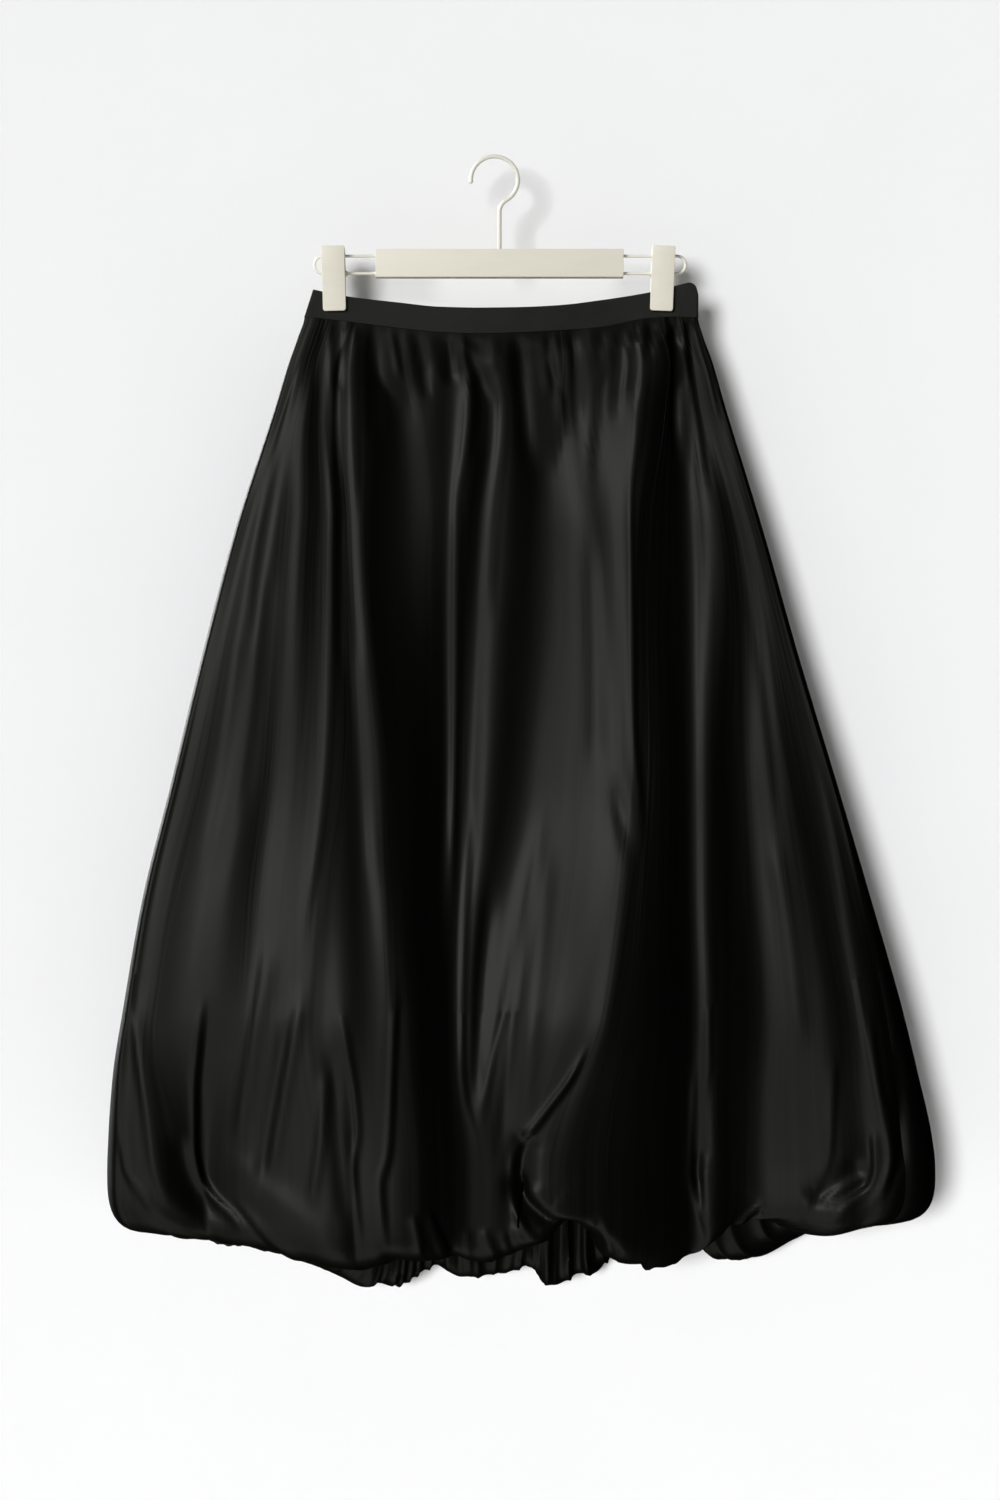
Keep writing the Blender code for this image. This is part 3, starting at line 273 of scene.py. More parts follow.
# Edges of laid-over folds: along its line a fold has a lit lip, and just beside it the cloth lies
# lower, by a step that is made up again over its reach. The low side is on the right of a line
# that runs down, and on the left of one that runs up.
FRONT_LAPS = (
    # from the waist
    ("left waist ridge", ((-152, 100), (-147, 216), (-146, 286), (-144, 337), (-144, 387), (-146, 472),
                          (-153, 585), (-164, 652), (-175, 720)), 0.8, 3, 1.6, 12),
    ("left waist tuck", ((-125, 118), (-127, 190), (-127, 223), (-125, 320)), 0.8, 2.6, 1.6, 12),
    ("lapped edge", ((-42, 80), (-28, 180), (-23, 203), (-26, 251), (-36, 312), (-36, 404), (-37, 500),
                     (-39, 602), (-40, 680)), 0.9, 3, 2.6, 14),
    ("lap tuck", ((-46, 150), (-21, 172), (-7, 192)), 1.2, 2.4, 1.6, 10),
    ("lap tuck mate", ((1, 135), (-3, 172), (-5, 196)), 1.0, 2.6, 1.6, 8),
    ("middle edge", ((-4, 176), (5, 223), (4, 255), (-4, 310), (-9, 420)), 0.8, 3, 2.0, 12),
    ("broad first gather", ((86, 110), (86, 190), (84, 240), (80, 300)), 0.9, 2.8, 1.6, 9),
    ("broad branch", ((104, 136), (98, 176), (92, 206)), 0.9, 2.4, 1.4, 8),
    ("edge gather", ((111, 122), (106, 186), (101, 236)), 1.0, 2.6, 1.8, 8),
    ("edge second gather", ((121, 125), (119, 184), (116, 222)), 1.0, 2.4, 1.6, 7),
    ("edge third gather", ((131, 120), (130, 190), (129, 230)), 1.0, 2.4, 1.6, 7),
    ("broad edge", ((126, 180), (127, 230), (118, 306), (119, 395), (120, 500), (127, 592), (124, 640)),
     0.6, 3, 2.0, 14),
    ("clip crease", ((186, 136), (166, 147), (155, 151), (146, 164)), 1.6, 2.6, 2.0, 12),
    ("clip second crease", ((163, 112), (169, 180), (173, 206), (180, 250), (186, 310)), 1.2, 2.8, 2.2, 14),
    ("clip third crease", ((168, 122), (180, 168), (188, 195), (198, 245)), 1.0, 2.6, 1.8, 12),
    ("right narrow edge", ((184, 300), (186, 395), (184, 472), (184, 653), (186, 737), (186, 800),
                           (182, 832), (176, 880)), 0.8, 3, 2.2, 14),
    # left of the hem
    ("left rim", ((-200, 964), (-222, 960), (-256, 949), (-291, 934), (-309, 916), (-322, 896),
                  (-329, 850)), 0.8, 3, 1.8, 8),
    ("hem crease", ((-257, 740), (-263, 790), (-266, 830), (-266, 872), (-262, 900), (-252, 919), (-231, 938),
                    (-211, 955), (-194, 965)), 1.3, 2.8, 4.0, 24),
    ("left lobe edge", ((-114, 985), (-138, 984), (-160, 978), (-178, 966), (-196, 952), (-212, 936),
                        (-228, 916)), 1.2, 4, 2.4, 16),
    ("long fold edge", ((-88, 720), (-92, 834), (-94, 875), (-101, 906), (-99, 938), (-94, 974)),
     0.8, 3, 2.2, 14),
    ("hem pull", ((-60, 930), (-49, 952), (-40, 972)), 1.2, 2.6, 1.8, 12),
    # middle of the hem
    ("middle left point", ((-24, 560), (-29, 680), (-31, 760), (-31, 800), (-28, 834), (-16, 874)),
     0.8, 2.8, 2.4, 14),
    ("curled edge", ((80, 780), (66, 810), (46, 838), (30, 859), (19, 871), (14, 890), (13, 912), (16, 929),
                     (24, 945), (38, 957), (56, 960)), 2.0, 3, 2.6, 24),
    ("right lobe near edge", ((94, 950), (84, 947), (69, 941), (46, 927), (30, 914), (24, 900)),
     1.2, 3, 2.4, 16),
    # right of the hem
    ("right lobe right edge", ((296, 790), (291, 882), (281, 909), (266, 942)), 0.6, 4, 1.2, 14),
    ("right lobe pull", ((186, 978), (211, 954), (225, 943), (242, 928)), 1.6, 2.6, 2.6, 16),
    ("right pocket lip", ((296, 944), (314, 927), (330, 913), (336, 893), (334, 856)), 1.4, 2.6, 2.6, 16),
    ("seam ridge", ((326, 750), (337, 829), (344, 857), (345, 886), (338, 913), (318, 932)),
     1.0, 2.8, 1.8, 12),
)
BACK_CREASES = (
    ("back first gather", ((-120, 158), (-116, 190), (-108, 240)), 5, 4, 1.5),
    ("back second gather", ((-92, 160), (-96, 186), (-98, 214)), 4, 4, 1.2),
    ("back first dent", ((-74, 162), (-72, 200), (-76, 270)), 5, 5, -1.8),
    ("back third gather", ((-38, 162), (-34, 184), (-36, 220)), 4, 3.5, 1.4),
    ("back middle dent", ((-10, 164), (-8, 210), (-12, 300)), 6, 6, -2.0),
    ("back fourth gather", ((26, 162), (30, 190), (28, 240)), 4, 4, 1.5),
    ("back fifth gather", ((64, 160), (60, 180), (58, 206)), 3, 3, 1.2),
    ("back right dent", ((92, 160), (98, 200), (104, 260)), 5, 5, -1.8),
    ("back clip gather", ((150, 150), (144, 166), (136, 196)), 4, 3, 1.6),
    ("back soft ridge", ((-180, 480), (-196, 600), (-214, 730)), 9, 9, 2.0),
    ("back soft dent", ((-60, 520), (-66, 640), (-70, 780)), 8, 8, -2.2),
    ("back second soft ridge", ((70, 430), (84, 560), (96, 700)), 9, 8, 2.0),
    ("back third soft ridge", ((206, 560), (226, 680), (240, 800)), 8, 8, 1.8),
    ("back lobe crest", ((-250, 880), (-206, 908), (-170, 948)), 11, 9, 3.0),
    ("back lobe dent", ((-120, 880), (-112, 920), (-104, 965)), 8, 7, -3.6),
    ("back middle crest", ((-30, 890), (0, 920), (22, 962)), 10, 9, 3.0),
    ("back right dent low", ((130, 870), (140, 910), (146, 956)), 8, 7, -3.6),
    ("back right crest", ((220, 880), (250, 905), (276, 940)), 10, 9, 3.0),
)
BACK_LAPS = (
    ("back left ridge", ((-148, 154), (-156, 230), (-176, 340), (-196, 470)), 1.4, 2.8, 2.2, 7),
    ("back waist tuck", ((-62, 160), (-52, 176), (-44, 200)), 1.2, 2.4, 1.8, 4),
    ("back long edge", ((-20, 166), (-24, 300), (-34, 460), (-38, 640)), 1.6, 3, 2.8, 8),
    ("back right tuck", ((44, 200), (48, 178), (46, 160)), 1.2, 2.4, 1.8, 4),
    ("back second edge", ((120, 620), (112, 480), (106, 330), (104, 200)), 1.5, 3, 2.6, 8),
    ("back right ridge", ((168, 156), (178, 230), (196, 360), (214, 500)), 1.4, 2.8, 2.2, 7),
    ("back left fold foot", ((-250, 740), (-256, 830), (-248, 890), (-214, 938), (-186, 968)),
     2.4, 2.6, 4.6, 6),
    ("back inner fold", ((-96, 975), (-102, 900), (-96, 820), (-104, 740)), 1.8, 2.6, 3.8, 8),
    ("back middle point", ((-14, 760), (-10, 830), (4, 880)), 1.6, 2.6, 2.8, 6),
    ("back middle mate", ((30, 770), (22, 830), (8, 880)), 1.6, 2.6, 2.6, 6),
    ("back curled edge", ((124, 740), (112, 800), (84, 846), (66, 880), (64, 916), (82, 946)),
     2.2, 2.8, 4.6, 7),
    ("back right fold foot", ((196, 760), (192, 850), (182, 900), (192, 944), (200, 972)), 2.0, 2.6, 3.6, 6),
    ("back right pocket", ((262, 944), (290, 924), (314, 890), (318, 840)), 1.8, 2.6, 3.4, 7),
)

COLUMN_PITCH = 4.75  # across, where two lines stand furthest apart
ROUND_STEPS = 6  # columns in the cloth's turn at each side
WALL_ROWS = 120
FINE_FROM = 64  # the row from which the columns are twice as many
ROW_SHARES = (0.0, 0.15, 0.53, 1.0)  # of the wall's rows
DOWN_SHARES = (0.0, 0.08, 0.76, 1.0)  # and how far down they reach
TURN_ROWS = 26
TURN_SQUARE = 0.7  # 1 for a round turn, less for a squarer one
SEAM_TRIES = 4
LINE_STEPS = 6  # of a crease's line, between two of its points
CREASE_FADE = 0.2  # of a crease's length, at each end
CREASE_FELT = 3  # of a crease's reach, beyond which it is left out
LAP_FALL = 3.2  # over which a lip falls to its low side
LAP_FELT = 4  # of a lap's step reach, beyond which it is left out
LIP_PLACE = 0.8  # of a lip's reach, from its line to its crest
LIP_BREADTH = 1.3  # of a lip's reach
GATHER_HEIGHT = 3.8
GATHER_FROM = 0.34  # of the way round the turn
GATHER_FULL = 0.6
GATHER_WAVES = ((23, 31, 0.8), (13.7, 17, 0.42), (8.3, 43, 0.15))  # pitch, sway and share of the height
GATHER_DRIFT = ((16, 53, 0), (9, 23, 2))  # sideways on the way to the band: size, length and start
GATHER_STARTS = ((0.08, 6.1), (0.06, 17))  # unevenness of where they start: size and length
GATHER_SHARP = 0.8  # 1 for rounded hollows, less for sharper ridges
GATHER_PRESSED = (0.83, 0.17, 0.6)  # flatter at the band: from where, over how much, and by how much


def smooth(at, places, values):
    """A curve through the values at rising places, without overshoot, level from its ends on."""
    places = np.asarray(places, float)
    values = np.asarray(values, float)
    step = np.diff(places)
    rise = np.diff(values) / step
    slope = np.zeros(len(places))
    same_way = rise[1:] * rise[:-1] > 0
    total = np.where(same_way, rise[1:] + rise[:-1], 1.0)
    slope[1:-1] = np.where(same_way, 2 * rise[1:] * rise[:-1] / total, 0.0)
    at = np.clip(at, places[0], places[-1])
    i = np.clip(np.searchsorted(places, at, side="right") - 1, 0, len(step) - 1)
    t = (at - places[i]) / step[i]
    return (
        values[i] * (1 + 2 * t) * (1 - t) ** 2
        + values[i + 1] * t**2 * (3 - 2 * t)
        + step[i] * t * (1 - t) * (slope[i] * (1 - t) - slope[i + 1] * t)
    )


def eased(t):
    """0 to 1 with level ends."""
    t = np.clip(t, 0.0, 1.0)
    return t * t * (3 - 2 * t)


def column_of(table, number):
    return [row[number] for row in table]


def left_edge(drop):
    return smooth(drop, EDGES_DROP, EDGES_LEFT)


def right_edge(drop):
    return smooth(drop, EDGES_DROP, EDGES_RIGHT)


def waist_bow(across):
    """How far each half of the waistband stands off the middle plane."""
    share = np.clip(np.abs(across - WAIST_MIDDLE) / WAIST_HALF_WIDTH, 0, 1)
    return WAIST_HALF_GAP + WAIST_BOW * (1 - share**2) ** 2


def seam_drop(across):
    return smooth(across, column_of(BAND_SEAM, 0), column_of(BAND_SEAM, 1))


class Side:
    """The front or the back of the skirt, as lines down the cloth between its two edges."""

    def __init__(self, levels, folds, near, far, near_deep, far_deep, full, hem):
        self.levels, self.folds = levels, folds
        self.near, self.far = near, far
        self.near_deep, self.far_deep, self.full = near_deep, far_deep, full
        self.hem = hem
        self.last = len(folds) - 1

    def lines(self, drop):
        """Distance from the near edge, lean and height of every line at the drops."""
        width = np.abs(self.far(drop) - self.near(drop))
        away = [smooth(drop, self.levels, share) * width for _, share, _ in self.folds]
        lean = [smooth(drop, self.levels, lean) for _, _, lean in self.folds]
        height = [smooth(drop, SIDE_LEVELS, self.near_deep)]
        for i in range(self.last):
            step = away[i + 1] - away[i]
            height.append(height[-1] + step * (lean[i] + lean[i + 1]) / 2)
        missing = smooth(drop, SIDE_LEVELS, self.far_deep) - height[-1]
        tilt = missing / (away[-1] - away[0])
        height = [h + tilt * (a - away[0]) for h, a in zip(height, away)]
        lean = [one + tilt for one in lean]
        return np.array(away), np.array(lean), np.array(height), width

    def across_and_height(self, place, drop):
        """Where the cloth is, off the middle plane, at a place counted in lines: it comes
        round from the near edge before the first line, and to the far edge after the last."""
        away, lean, height, width = self.lines(drop)
        i = np.clip(np.floor(place).astype(int), 0, self.last - 1)
        rest = np.arange(place.size)

        def pick(lines, number):
            return lines[number, rest]

        t = np.clip(place - i, 0, 1)
        step = pick(away, i + 1) - pick(away, i)
        turn = pick(lean, i + 1) - pick(lean, i)
        distance = pick(away, i) + step * t
        h = pick(height, i) + step * (pick(lean, i) * t + turn * (t**3 - t**4 / 2))
        inside = np.clip((distance - away[0]) / (away[-1] - away[0]), 0, 1)
        h = h + smooth(drop, SIDE_LEVELS, self.full) * 4 * inside * (1 - inside)
        near_angle = np.clip(place + 1, 0, 1) * math.pi / 2
        far_angle = np.clip(self.last + 1 - place, 0, 1) * math.pi / 2
        distance = np.where(place < 0, away[0] * (1 - np.cos(near_angle)), distance)
        past = width - (width - away[-1]) * (1 - np.cos(far_angle))
        distance = np.where(place > self.last, past, distance)
        across = self.near(drop) + np.sign(self.far(drop) - self.near(drop)) * distance
        in_band = waist_bow(across) + BAND - WAIST_SET_BACK
        at_seam = np.clip(h, in_band - WAIST_SINK, in_band + WAIST_GATHER)
        h = np.maximum(h, CLOTH)
        h = at_seam + (h - at_seam) * eased((drop - seam_drop(across)) / WAIST_BLEND)
        return across, h * np.sin(near_angle) * np.sin(far_angle)


def share_of_width(levels, folds):
    """Folds with their places across as shares of the width at each level."""
    rows = []
    for name, places, lean in folds:
        left = [left_edge(level) for level in levels]
        right = [right_edge(level) for level in levels]
        rows.append((name, [float((p - a) / (b - a)) for p, a, b in zip(places, left, right)], lean))
    return rows


FRONT = Side(
    FRONT_LEVELS, share_of_width(FRONT_LEVELS, FRONT_FOLDS), left_edge, right_edge,
    LEFT_FRONT_DEEP, RIGHT_FRONT_DEEP, FRONT_FULL, FRONT_HEM,
)
BACK = Side(
    BACK_LEVELS, BACK_FOLDS, right_edge, left_edge, RIGHT_BACK_DEEP, LEFT_BACK_DEEP, BACK_FULL, BACK_HEM,
)


def beside_line(points, across, drop, reach):
    """Which of the cloth's points lie near a line, how far to the right of it they are as it
    runs down, and how faded the line is there, towards its ends."""
    knots = np.arange(len(points))
    at = np.linspace(0, knots[-1], LINE_STEPS * knots[-1] + 1)
    line = np.stack([smooth(at, knots, column_of(points, k)) for k in (0, 1)])
    near = (across > line[0].min() - reach) & (across < line[0].max() + reach)
    near &= (drop > line[1].min() - reach) & (drop < line[1].max() + reach)
    x, y = across[near][:, None], drop[near][:, None]
    start, way = line[:, :-1], np.diff(line, axis=1)
    length = np.hypot(*way)
    t = np.clip(((x - start[0]) * way[0] + (y - start[1]) * way[1]) / length**2, 0, 1)
    off_x, off_y = x - start[0] - t * way[0], y - start[1] - t * way[1]
    right = np.hypot(off_x, off_y) * np.sign(way[1] * off_x - way[0] * off_y)
    nearest = np.argmin(np.abs(right), axis=1)
    row = np.arange(len(nearest))
    run = np.concatenate([[0], np.cumsum(length)])[nearest] + t[row, nearest] * length[nearest]
    along = run / length.sum()
    fade = eased(along / CREASE_FADE) * eased((1 - along) / CREASE_FADE)
    return near, right[row, nearest], fade


def crease_height(crease, across, drop):
    _, points, reach_left, reach_right, height = crease
    near, right, fade = beside_line(points, across, drop, CREASE_FELT * max(reach_left, reach_right))
    added = np.zeros_like(across)
    reach = np.where(right > 0, reach_right, reach_left)
    added[near] = height * fade * np.exp(-((right / reach) ** 2))
    return added


def lap_height(lap, across, drop):
    _, points, lip, lip_reach, step, step_reach = lap
    near, right, fade = beside_line(points, across, drop, LAP_FELT * step_reach)
    right = right - LIP_PLACE * lip_reach
    beyond = np.clip(right, 0, None)
    fallen = 1 - np.exp(-((beyond / LAP_FALL) ** 2))
    low = lip * (1 - fallen) - step * fallen * np.exp(-beyond / step_reach)
    proud = lip * np.exp(-((right / (LIP_BREADTH * lip_reach)) ** 2))
    added = np.zeros_like(across)
    added[near] = fade * np.where(right < 0, proud, low)
    return added


def places_across(side):
    """Places counted in lines, with one between each two for the finer hem."""
    away = side.lines(np.array(side.levels, float))[0]
    widest = np.diff(away, axis=0).max(axis=1)
    places = [k / ROUND_STEPS - 1 for k in range(ROUND_STEPS)]
    for i in range(side.last):
        parts = max(1, round(widest[i] / COLUMN_PITCH))
        places += [i + k / parts for k in range(parts)]
    places += [side.last + k / ROUND_STEPS for k in range(ROUND_STEPS + 1)]
    between = [(a + b) / 2 for a, b in zip(places, places[1:])]
    return sorted(places + between)


def turn_rows():
    """Evenly spaced steps round the hem's full, squarish turn: how far each has moved over to
    the band, and its share of the way down."""
    angle = np.linspace(0, math.pi, 400)
    moved = (1 - np.sign(np.cos(angle)) * np.abs(np.cos(angle)) ** TURN_SQUARE) / 2
    fallen = np.sin(angle) ** TURN_SQUARE
    run = np.concatenate([[0], np.cumsum(np.hypot(np.diff(moved), np.diff(fallen) / 2))])
    even = np.linspace(0, run[-1], TURN_ROWS + 1)[1:]
    return list(zip(np.interp(even, run, moved), np.interp(even, run, fallen)))


def cloth_rows(side, places, toward):
    """Rows of points from the waist seam down the wall, round under it and up to the band, and
    how far down each is counted for its creases, which go on round the turn."""
    place = np.array(places)
    hem_across, hem_drop, hem_turn = (column_of(side.hem, k) for k in range(3))
    across, _ = side.across_and_height(place, np.full(len(place), float(side.levels[-1])))
    lowest = smooth(across, hem_across, hem_drop)
    half_turn = smooth(across, hem_across, hem_turn)
    top = np.full(len(place), float(side.levels[0]))
    for _ in range(SEAM_TRIES):
        across, _ = side.across_and_height(place, top)
        top = seam_drop(across) + SEAM_GAP
    rows = []
    counted = []
    for share in np.interp(np.linspace(0, 1, WALL_ROWS + 1), ROW_SHARES, DOWN_SHARES):
        drop = top + (lowest - half_turn - top) * share
        across, height = side.across_and_height(place, drop)
        rows.append((across, toward * height, drop))
        counted.append(drop)
    wall_across, wall_depth, wall_end = rows[-1]
    middle = (left_edge(wall_end) + right_edge(wall_end)) / 2
    half_width = (right_edge(wall_end) - left_edge(wall_end)) / 2
    spread = np.clip((wall_across - middle) / half_width, -1, 1)
    inset = (HEM_BAND + CLOTH) / 2
    band_across = HEM_MIDDLE + (HEM_HALF_WIDTH - inset) * spread
    facing = np.where(wall_depth > 0, 1, -1)
    band_depth = HEM_BACKWARD + facing * (HEM_HALF_DEPTH - inset) * np.sqrt(1 - spread**2)
    before_across, before_depth, before_end = rows[-2]
    across_slope = (wall_across - before_across) / (wall_end - before_end)
    depth_slope = (wall_depth - before_depth) / (wall_end - before_end)
    for moved, fallen in turn_rows():
        under = HEM_DROP + SEAM_GAP + (lowest - HEM_DROP - SEAM_GAP) * fallen
        drop = wall_end + half_turn * fallen if moved < 0.5 else under
        carried = fallen * (1 - moved) ** 3
        rows.append(
            (
                wall_across + (band_across - wall_across) * moved + across_slope * half_turn * carried,
                wall_depth + (band_depth - wall_depth) * moved + depth_slope * half_turn * carried,
                drop,
            )
        )
        counted.append(drop if moved < 0.5 else 2 * lowest - drop)
    points = np.stack([np.stack([a, b, -c], axis=-1) for a, b, c in rows])
    return points, np.stack(counted)


def outward(points):
    """The cloth's outer normal at each point of the closed tube."""
    ring = points[:, :-1]
    along = np.roll(ring, -1, axis=1) - np.roll(ring, 1, axis=1)
    normal = np.cross(np.gradient(ring, axis=0), along)
    normal[0, :, 2] = normal[-1, :, 2] = 0
    normal /= np.linalg.norm(normal, axis=2, keepdims=True)
    return np.concatenate([normal, normal[:, :1]], axis=1)


def gather(points):
    """Height of the uneven gathers over the turned-under cloth, which grow to the hem band."""
    lowest = points[WALL_ROWS + TURN_ROWS // 2]
    run = np.concatenate([[0], np.cumsum(np.linalg.norm(np.diff(lowest, axis=0), axis=1))])
    shares = np.linspace(0, 1, TURN_ROWS + 1)[:, None]
    run = run + sum(size * np.sin(run / length + start) for size, length, start in GATHER_DRIFT) * shares
    height = np.zeros((TURN_ROWS + 1, points.shape[1]))
    for pitch, sway, much in GATHER_WAVES:
        turns = math.pi * (run + 0.4 * pitch * np.sin(run / sway + pitch)) / pitch
        strength = np.clip(0.6 + 0.7 * np.sin(run / (1.7 * sway) + 3 * shares + pitch), 0, 1)
        height += much * strength * (1 - 2 * np.abs(np.sin(turns)) ** GATHER_SHARP)
    starts = GATHER_FROM
    for size, length in GATHER_STARTS:
        starts = starts + size * np.sin(run / length)
    grown = eased((shares - starts) / (GATHER_FULL - GATHER_FROM))
    pressed_from, pressed_over, flatter = GATHER_PRESSED
    grown *= 1 - flatter * eased((shares - pressed_from) / pressed_over)
    gathered = np.zeros(points.shape[:2])
    gathered[WALL_ROWS:] = GATHER_HEIGHT * grown * height
    return gathered


front_places = places_across(FRONT)
back_places = places_across(BACK)
front_rows, front_counted = cloth_rows(FRONT, front_places, -1)
back_rows, back_counted = cloth_rows(BACK, back_places, 1)
satin_rows = np.concatenate([front_rows, back_rows[:, 1:]], axis=1)
satin_height = gather(satin_rows)
front_columns = front_rows.shape[1]
front_fades = np.interp(front_places, [-1, 0, FRONT.last, FRONT.last + 1], [0, 1, 1, 0])
back_fades = np.interp(back_places, [-1, 0, BACK.last, BACK.last + 1], [0, 1, 1, 0])[1:]
for make, creases in ((crease_height, FRONT_CREASES), (lap_height, FRONT_LAPS)):
    for crease in creases:
        added = make(crease, front_rows[..., 0], front_counted)
        satin_height[:, :front_columns] += added * front_fades
for make, creases in ((crease_height, BACK_CREASES), (lap_height, BACK_LAPS)):
    for crease in creases:
        added = make(crease, back_rows[:, 1:, 0], back_counted[:, 1:])
        satin_height[:, front_columns:] += added * back_fades
satin_height *= eased(np.arange(len(satin_rows)) / 3)[:, None]
satin_rows += outward(satin_rows) * satin_height[..., None]
satin_rows[:, -1] = satin_rows[:, 0]

# Satin is warp-faced: long floats down the cloth give it a soft gloss with fine upright streaks.
# The patterns lie on the flat cut, so that they follow the folds.
SATIN_BLACK = (0.0003, 0.0003, 0.00025, 1)
SATIN_TINT = (0.97, 1, 0.87, 1)


def new_material(name, roughness, specular):
    """A material, its shader, and a way to add one more node with its values set."""
    material = bpy.data.materials.new(name)
    material.use_nodes = True
    tree = material.node_tree
    shader = tree.nodes["Principled BSDF"]
    shader.inputs["Roughness"].default_value = roughness
    shader.inputs["Specular IOR Level"].default_value = specular

    def node(kind, links=(), **values):
        made = tree.nodes.new(kind)
        for key, value in values.items():
            if key in made.inputs:
                made.inputs[key].default_value = value
            else:
                setattr(made, key, value)
        for socket, source in links:
            tree.links.new(source, made.inputs[socket])
        return made

    return material, shader, node, tree.links.new


satin, shader, node, link = new_material("black satin", roughness=0.58, specular=0.085)
shader.inputs["Specular Tint"].default_value = SATIN_TINT
shader.inputs["Coat Weight"].default_value = 0.05
shader.inputs["Coat Roughness"].default_value = 0.3
shader.inputs["Coat Tint"].default_value = SATIN_TINT
cut = node("ShaderNodeUVMap", uv_map="cut").outputs["UV"]
streak_grain = node("ShaderNodeMapping", [("Vector", cut)], Scale=(170, 5, 1)).outputs["Vector"]
streaks = node("ShaderNodeTexNoise", [("Vector", streak_grain)], Scale=1, Detail=3, Roughness=0.55)
ripple_grain = node("ShaderNodeMapping", [("Vector", cut)], Scale=(42, 3.2, 1)).outputs["Vector"]
ripples = node("ShaderNodeTexNoise", [("Vector", ripple_grain)], Scale=1, Detail=2, Roughness=0.5)
float_grain = node("ShaderNodeMapping", [("Vector", cut)], Scale=(1400, 260, 1)).outputs["Vector"]
floats = node("ShaderNodeTexNoise", [("Vector", float_grain)], Scale=1, Detail=1, Roughness=0.4)
wide = node("ShaderNodeBump", [("Height", ripples.outputs[0])], Strength=1, Distance=0.0011)
fine = node("ShaderNodeBump", [("Height", streaks.outputs[0]), ("Normal", wide.outputs[0])],
            Strength=1, Distance=0.00022)
weave = node("ShaderNodeBump", [("Height", floats.outputs[0]), ("Normal", fine.outputs[0])],
             Strength=1, Distance=0.000012)
link(weave.outputs[0], shader.inputs["Normal"])
gloss = node("ShaderNodeMapRange", [("Value", streaks.outputs[0])])
gloss.inputs["From Min"].default_value, gloss.inputs["From Max"].default_value = 0.3, 0.7
gloss.inputs["To Min"].default_value, gloss.inputs["To Max"].default_value = 0.54, 0.62
link(gloss.outputs[0], shader.inputs["Roughness"])
shade = node("ShaderNodeMix", [("Factor", ripples.outputs[0])], data_type="RGBA")
shade.inputs["A"].default_value = [0.6 * c for c in SATIN_BLACK[:3]] + [1]
shade.inputs["B"].default_value = [1.4 * c for c in SATIN_BLACK[:3]] + [1]
link(shade.outputs["Result"], shader.inputs["Base Color"])

fullest = satin_rows[WALL_ROWS]
cut_across = np.concatenate([[0], np.cumsum(np.linalg.norm(np.diff(fullest, axis=0), axis=1))])
falls = np.linalg.norm(np.diff(satin_rows, axis=0), axis=2).mean(axis=1)
cut_down = np.concatenate([[0], np.cumsum(falls)])


def satin_panel(name, first, last, wearing):
    """A panel between two columns of the tube, coarser down the wall than round the hem."""
    along = np.roll(satin_rows[:, :-1], -1, axis=1) - np.roll(satin_rows[:, :-1], 1, axis=1)
    along /= np.linalg.norm(along, axis=2, keepdims=True)
    points = satin_rows[:, first : last + 1].copy()
    points[:, 0] += along[:, first] * SEAM_GAP / 2
    points[:, -1] -= along[:, last % along.shape[1]] * SEAM_GAP / 2
    rows, columns = points.shape[:2]
    faces = []
    for row in range(rows - 1):
        for column in range(0, columns - 1, 2):
            a = row * columns + column
            c = a + columns
            if row < FINE_FROM:
                faces.append((a, c, c + 2, a + 2))
            elif row == FINE_FROM:
                faces += [(a, c, c + 1), (a, c + 1, a + 2), (a + 2, c + 1, c + 2)]
            else:
                faces += [(a, c, c + 1, a + 1), (a + 1, c + 1, c + 2, a + 2)]
    mesh = bpy.data.meshes.new(name)
    mesh.from_pydata((points.reshape(-1, 3) * MM).tolist(), [], faces)
    mesh.update()
    corner = np.zeros(len(mesh.loops), int)
    mesh.loops.foreach_get("vertex_index", corner)
    flat = np.stack([cut_across[first + corner % columns], cut_down[corner // columns]], axis=1)
    mesh.uv_layers.new(name="cut").data.foreach_set("uv", (flat * MM).ravel())
    panel = bpy.data.objects.new(name, mesh)
    bpy.context.scene.collection.objects.link(panel)
    bpy.ops.object.select_all(action="DESELECT")
    bpy.context.view_layer.objects.active = panel
    panel.select_set(True)
    bpy.ops.object.mode_set(mode="EDIT")
    bpy.ops.mesh.select_all(action="SELECT")
    bpy.ops.mesh.delete_loose(use_verts=True, use_edges=False, use_faces=False)
    bpy.ops.object.mode_set(mode="OBJECT")
    wall = panel.modifiers.new("wall", "SOLIDIFY")
    wall.thickness = CLOTH * MM
    wall.offset = -1
    bpy.ops.object.modifier_apply(modifier="wall")
    bpy.ops.object.shade_smooth_by_angle(angle=math.radians(60))
    panel.data.materials.append(wearing)
    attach(panel, "root")
    return panel


side_seam = front_places.index(FRONT.last)
satin_front = satin_panel("satin_front", 0, side_seam, satin)
satin_back = satin_panel("satin_back", side_seam, satin_rows.shape[1] - 1, satin)
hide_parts("skirt_front")
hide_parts("skirt_back")

# ---- Waistband and inner hem band -----------------------------------------------------------
# Straight bands of the same satin, faced and pressed flat, so they look matt beside the folds.
# The waistband's halves meet at the sides and bow apart between the clips. The hem band is an
# oval hidden inside the balloon, and the turned-under cloth is gathered to its lower edge.

